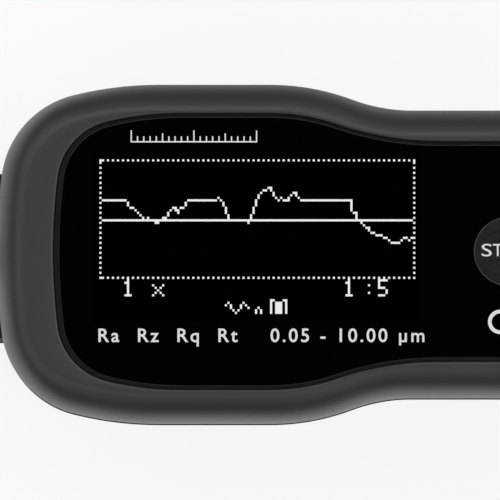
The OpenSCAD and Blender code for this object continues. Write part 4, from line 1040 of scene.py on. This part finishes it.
def makeLettering():
    p = prints
    letters = bmesh.new()
    x = keyAt[0] + p["startLeft"]
    tall = p["startHeight"] / p["capHeight"]
    for letter, width in p["startLetters"]:      # each letter is drawn out to its own width
        one = letterMesh(letter)
        left, right = (end(vert.co.x for vert in one.verts) for end in (min, max))
        wide = width / (right - left)
        bmesh.ops.scale(one, verts=one.verts, vec=(wide, tall, 1))
        bmesh.ops.translate(one, verts=one.verts, vec=(
            x - left * wide, keyAt[1] + p["startY"] - p["startHeight"] / 2, keyTop + p["startLift"]))
        join(letters, one)
        x += width + p["startGap"]
    for vert in letters.verts:                   # the letters follow the key's dome
        vert.co.z -= domeDrop(math.dist(vert.co.xy, keyAt))
    makePiece(letters, "startLetters", "start_button", "key", finish=glowingWhiteInk)
    letters = letterMesh(p["rangeText"], p["rangeSpacing"], p["rangeWeight"])
    tall = p["rangeHeight"] / p["capHeight"]
    bmesh.ops.scale(letters, verts=letters.verts, vec=(tall, tall, 1))
    bmesh.ops.translate(letters, verts=letters.verts, vec=(
        p["rangeLeft"], p["rangeY"] - p["rangeHeight"] / 2, inkLow + inkThick / 2))
    makePiece(letters, "rangeLetters", "housing", "panel", finish=glowingWhiteInk)


def makeKeyMarks():
    p = prints
    outer, inner = p["ringR"], p["ringR"] - p["ringStroke"]
    ring = bmesh.new()
    turn(ring, [(inner, inkLow), (outer, inkLow), (outer, inkHigh), (inner, inkHigh), (inner, inkLow)],
         (*membraneKeys[0], 0))
    makePiece(ring, "keyRing", "housing", "panel", finish=glowingWhiteInk)
    arrows = bmesh.new()
    for at in membraneKeys[1:]:                  # one arrow up and one down
        face = Matrix.Rotation(0 if at[1] > 0 else math.pi, 4, "Z")
        mark = bmesh.ops.create_circle(arrows, cap_ends=True, segments=3, radius=p["arrowR"], matrix=face)
        bmesh.ops.translate(arrows, verts=mark["verts"], vec=(*at, inkLow))
    raised = bmesh.ops.extrude_face_region(arrows, geom=arrows.faces[:], use_keep_orig=True)["geom"]
    bmesh.ops.translate(arrows, verts=[part for part in raised if isinstance(part, bmesh.types.BMVert)],
                        vec=(0, 0, inkThick))
    makePiece(arrows, "arrowMarks", "housing", "panel", finish=glowingWhiteInk)


def makePanelScale():
    p = prints
    left, base, half = p["scaleLeft"], p["scaleY"], p["scaleStroke"] / 2
    step = p["scaleLength"] / p["scaleSteps"]
    bm = bmesh.new()
    for index in range(p["scaleSteps"] + 1):
        x = left + index * step
        tall = next(height for every, height in p["tickHeights"] if index % every == 0)
        roundedBox(bm, (x - half, base, inkLow), (x + half, base + tall, inkHigh))
    roundedBox(bm, (left - half, base - p["scaleStroke"], inkLow),
               (left + p["scaleLength"] + half, base, inkHigh))
    makePiece(bm, "panelScale", "housing", "panel", finish=glowingWhiteInk)


makePicture()
makeLettering()
makeKeyMarks()
makePanelScale()
print("display and prints done")

# Camera at the photograph's viewing angle
view = {"centre": (-27.3, 0.57, 38), "span": 84.1, "tilt": 2, "distance": 2400, "sensor": 36,
        "reach": 20}


def makeCamera():
    lens = bpy.data.cameras.new("photoCamera")
    lens.sensor_width = view["sensor"]
    lens.lens = view["sensor"] * view["distance"] / view["span"]
    lens.clip_end = view["reach"]
    camera = addObject("photoCamera", lens)
    tilt = math.radians(view["tilt"])
    offset = Vector((0, -math.sin(tilt), math.cos(tilt))) * view["distance"]
    camera.location = (Vector(view["centre"]) + offset) * mm
    camera.rotation_euler = (tilt, 0, 0)
    scene.camera = camera


# Floor and light; pairs are the limits of a soft mask
studio = {
    "floorHalf": 3, "floorZ": -0.0002, "floorSeen": 0.97, "floorBounce": 0.09, "floorGlow": 0.86,
    "mirrorFar": 0.06, "mirrorNear": 0.5, "mirrorFront": 0.95, "mirrorCorner": 0.5,
    "nearX": (55, 205), "nearY": (44, 74), "frontY": (-44, 44),
    "cornerX": (-75, -35), "cornerY": (8, 36), "contact": (1, 4), "waistRun": 24,
    "underGlow": 0.8, "underMirror": 0.6, "underEdge": (-4, -0.5),
    "horizon": 0.26, "low": 0.24, "crown": 0, "strength": 1.63,
    "backBox": 1, "frontBox": 0.38, "boxSide": (0.1, 0.35),
    "tailStrip": 0.9, "noseStrip": 0.38, "stripEnd": (0.3, 0.7),
}


def makeFloor():
    s, plan = studio, bodyPlan
    bm = bmesh.new()
    bmesh.ops.create_grid(bm, x_segments=1, y_segments=1, size=s["floorHalf"])
    bmesh.ops.translate(bm, verts=bm.verts, vec=(0, 0, s["floorZ"]))
    mesh = bpy.data.meshes.new("floor")
    bm.to_mesh(mesh)
    bm.free()
    floor = addObject("floor", mesh)
    paper = bpy.data.materials.new("paper")
    paper.use_nodes = True
    graph = Graph(paper.node_tree)
    seen, mirrored, spread = graph.ray("Camera"), graph.ray("Glossy"), graph.ray("Diffuse")
    tone = graph.mix(seen, grey(s["floorBounce"]), grey(s["floorSeen"]))
    matt = graph.node("BsdfDiffuse", {}, {"Color": tone})
    white = graph.node("Emission", {}, {"Color": grey(1), "Strength": 1})
    where = graph.place()
    alongX, alongY = graph.axis(where, "X"), graph.axis(where, "Y")
    # distance from the outline, negative under the object
    cornerR = plan["cornerR"]
    beyondX = (abs(alongX) - (plan["right"] - cornerR)).maths("MAXIMUM", 0)
    waist = alongX.ease(plan["waistStart"], plan["waistStart"] + s["waistRun"])
    drawnIn = waist * (plan["headHalf"] - plan["waistHalf"])
    beyondY = (abs(alongY) + drawnIn - (plan["headHalf"] - cornerR)).maths("MAXIMUM", 0)
    away = (beyondX * beyondX + beyondY * beyondY).maths("SQRT") - cornerR
    # mirrored paper: pale close to the object, paler towards its front and at the display end's back
    # corner, darker further off and in the object's own shade right beside it
    near = (1 - abs(alongX).ease(*s["nearX"])) * (1 - abs(alongY).ease(*s["nearY"]))
    near = near * away.ease(*s["contact"])
    front = 1 - alongY.ease(*s["frontY"])
    corner = (1 - alongX.ease(*s["cornerX"])) * alongY.ease(*s["cornerY"])
    pale = s["mirrorNear"] + front * s["mirrorFront"] + corner * s["mirrorCorner"]
    paperSeen = s["mirrorFar"] + near * pale
    # light through the paper reaches the sole, so that it can be seen from below
    under = (1 - away.ease(*s["underEdge"])) * s["underGlow"]
    glow = seen * s["floorGlow"] + mirrored * (paperSeen + under * s["underMirror"]) + spread * under
    shown = graph.node("MixShader", {}, {0: glow, 1: matt, 2: white})
    below = graph.node("NewGeometry", output="Backfacing")       # clear from underneath
    clear = graph.node("BsdfTransparent")
    paperSide = graph.node("MixShader", {}, {0: below, 1: shown, 2: clear})
    graph.feed(graph.tree.nodes["Material Output"].inputs["Surface"], paperSide)
    mesh.materials.append(paper)


def makeSky():
    s = studio
    world = bpy.data.worlds.new("studio")
    scene.world = world
    world.use_nodes = True
    graph = Graph(world.node_tree)
    direction = graph.node("TexCoord", output="Generated")
    along, across, height = (graph.axis(direction, letter) for letter in "XYZ")

    def ramp(*tones):
        stops = [(place, grey(tone)) for place, tone in tones]
        return graph.node("ValToRGB", {"stops": stops}, {0: height})

    around = ramp((0, s["horizon"]), (0.1, s["horizon"]), (0.25, s["low"]), (0.8, s["low"]),
                  (0.97, s["crown"]))
    box = ramp((0, s["horizon"]), (0.25, s["low"]), (0.55, s["low"]), (0.8, 1), (0.95, 1),
               (0.99, s["crown"]))
    strip = ramp((0, 0.6), (0.1, 0.75), (0.2, 1), (0.65, 1), (0.85, 0.2), (0.95, s["crown"]))
    back = across.ease(*s["boxSide"]) * s["backBox"]           # soft boxes along both long sides
    front = (0 - across).ease(*s["boxSide"]) * s["frontBox"]
    tail = along.ease(*s["stripEnd"]) * s["tailStrip"]         # weaker strips beyond both ends
    tip = (0 - along).ease(*s["stripEnd"]) * s["noseStrip"]
    dome = graph.mix(tail + tip, graph.mix(back + front, around, box), strip)
    seen = graph.ray("Camera")
    sky = graph.tree.nodes["Background"]
    graph.feed(sky.inputs["Color"], graph.mix(seen, dome, grey(1)))
    graph.feed(sky.inputs["Strength"], seen + (1 - seen) * s["strength"])


makeCamera()
makeFloor()
makeSky()
scene.view_settings.view_transform = "Standard"
print("studio done")
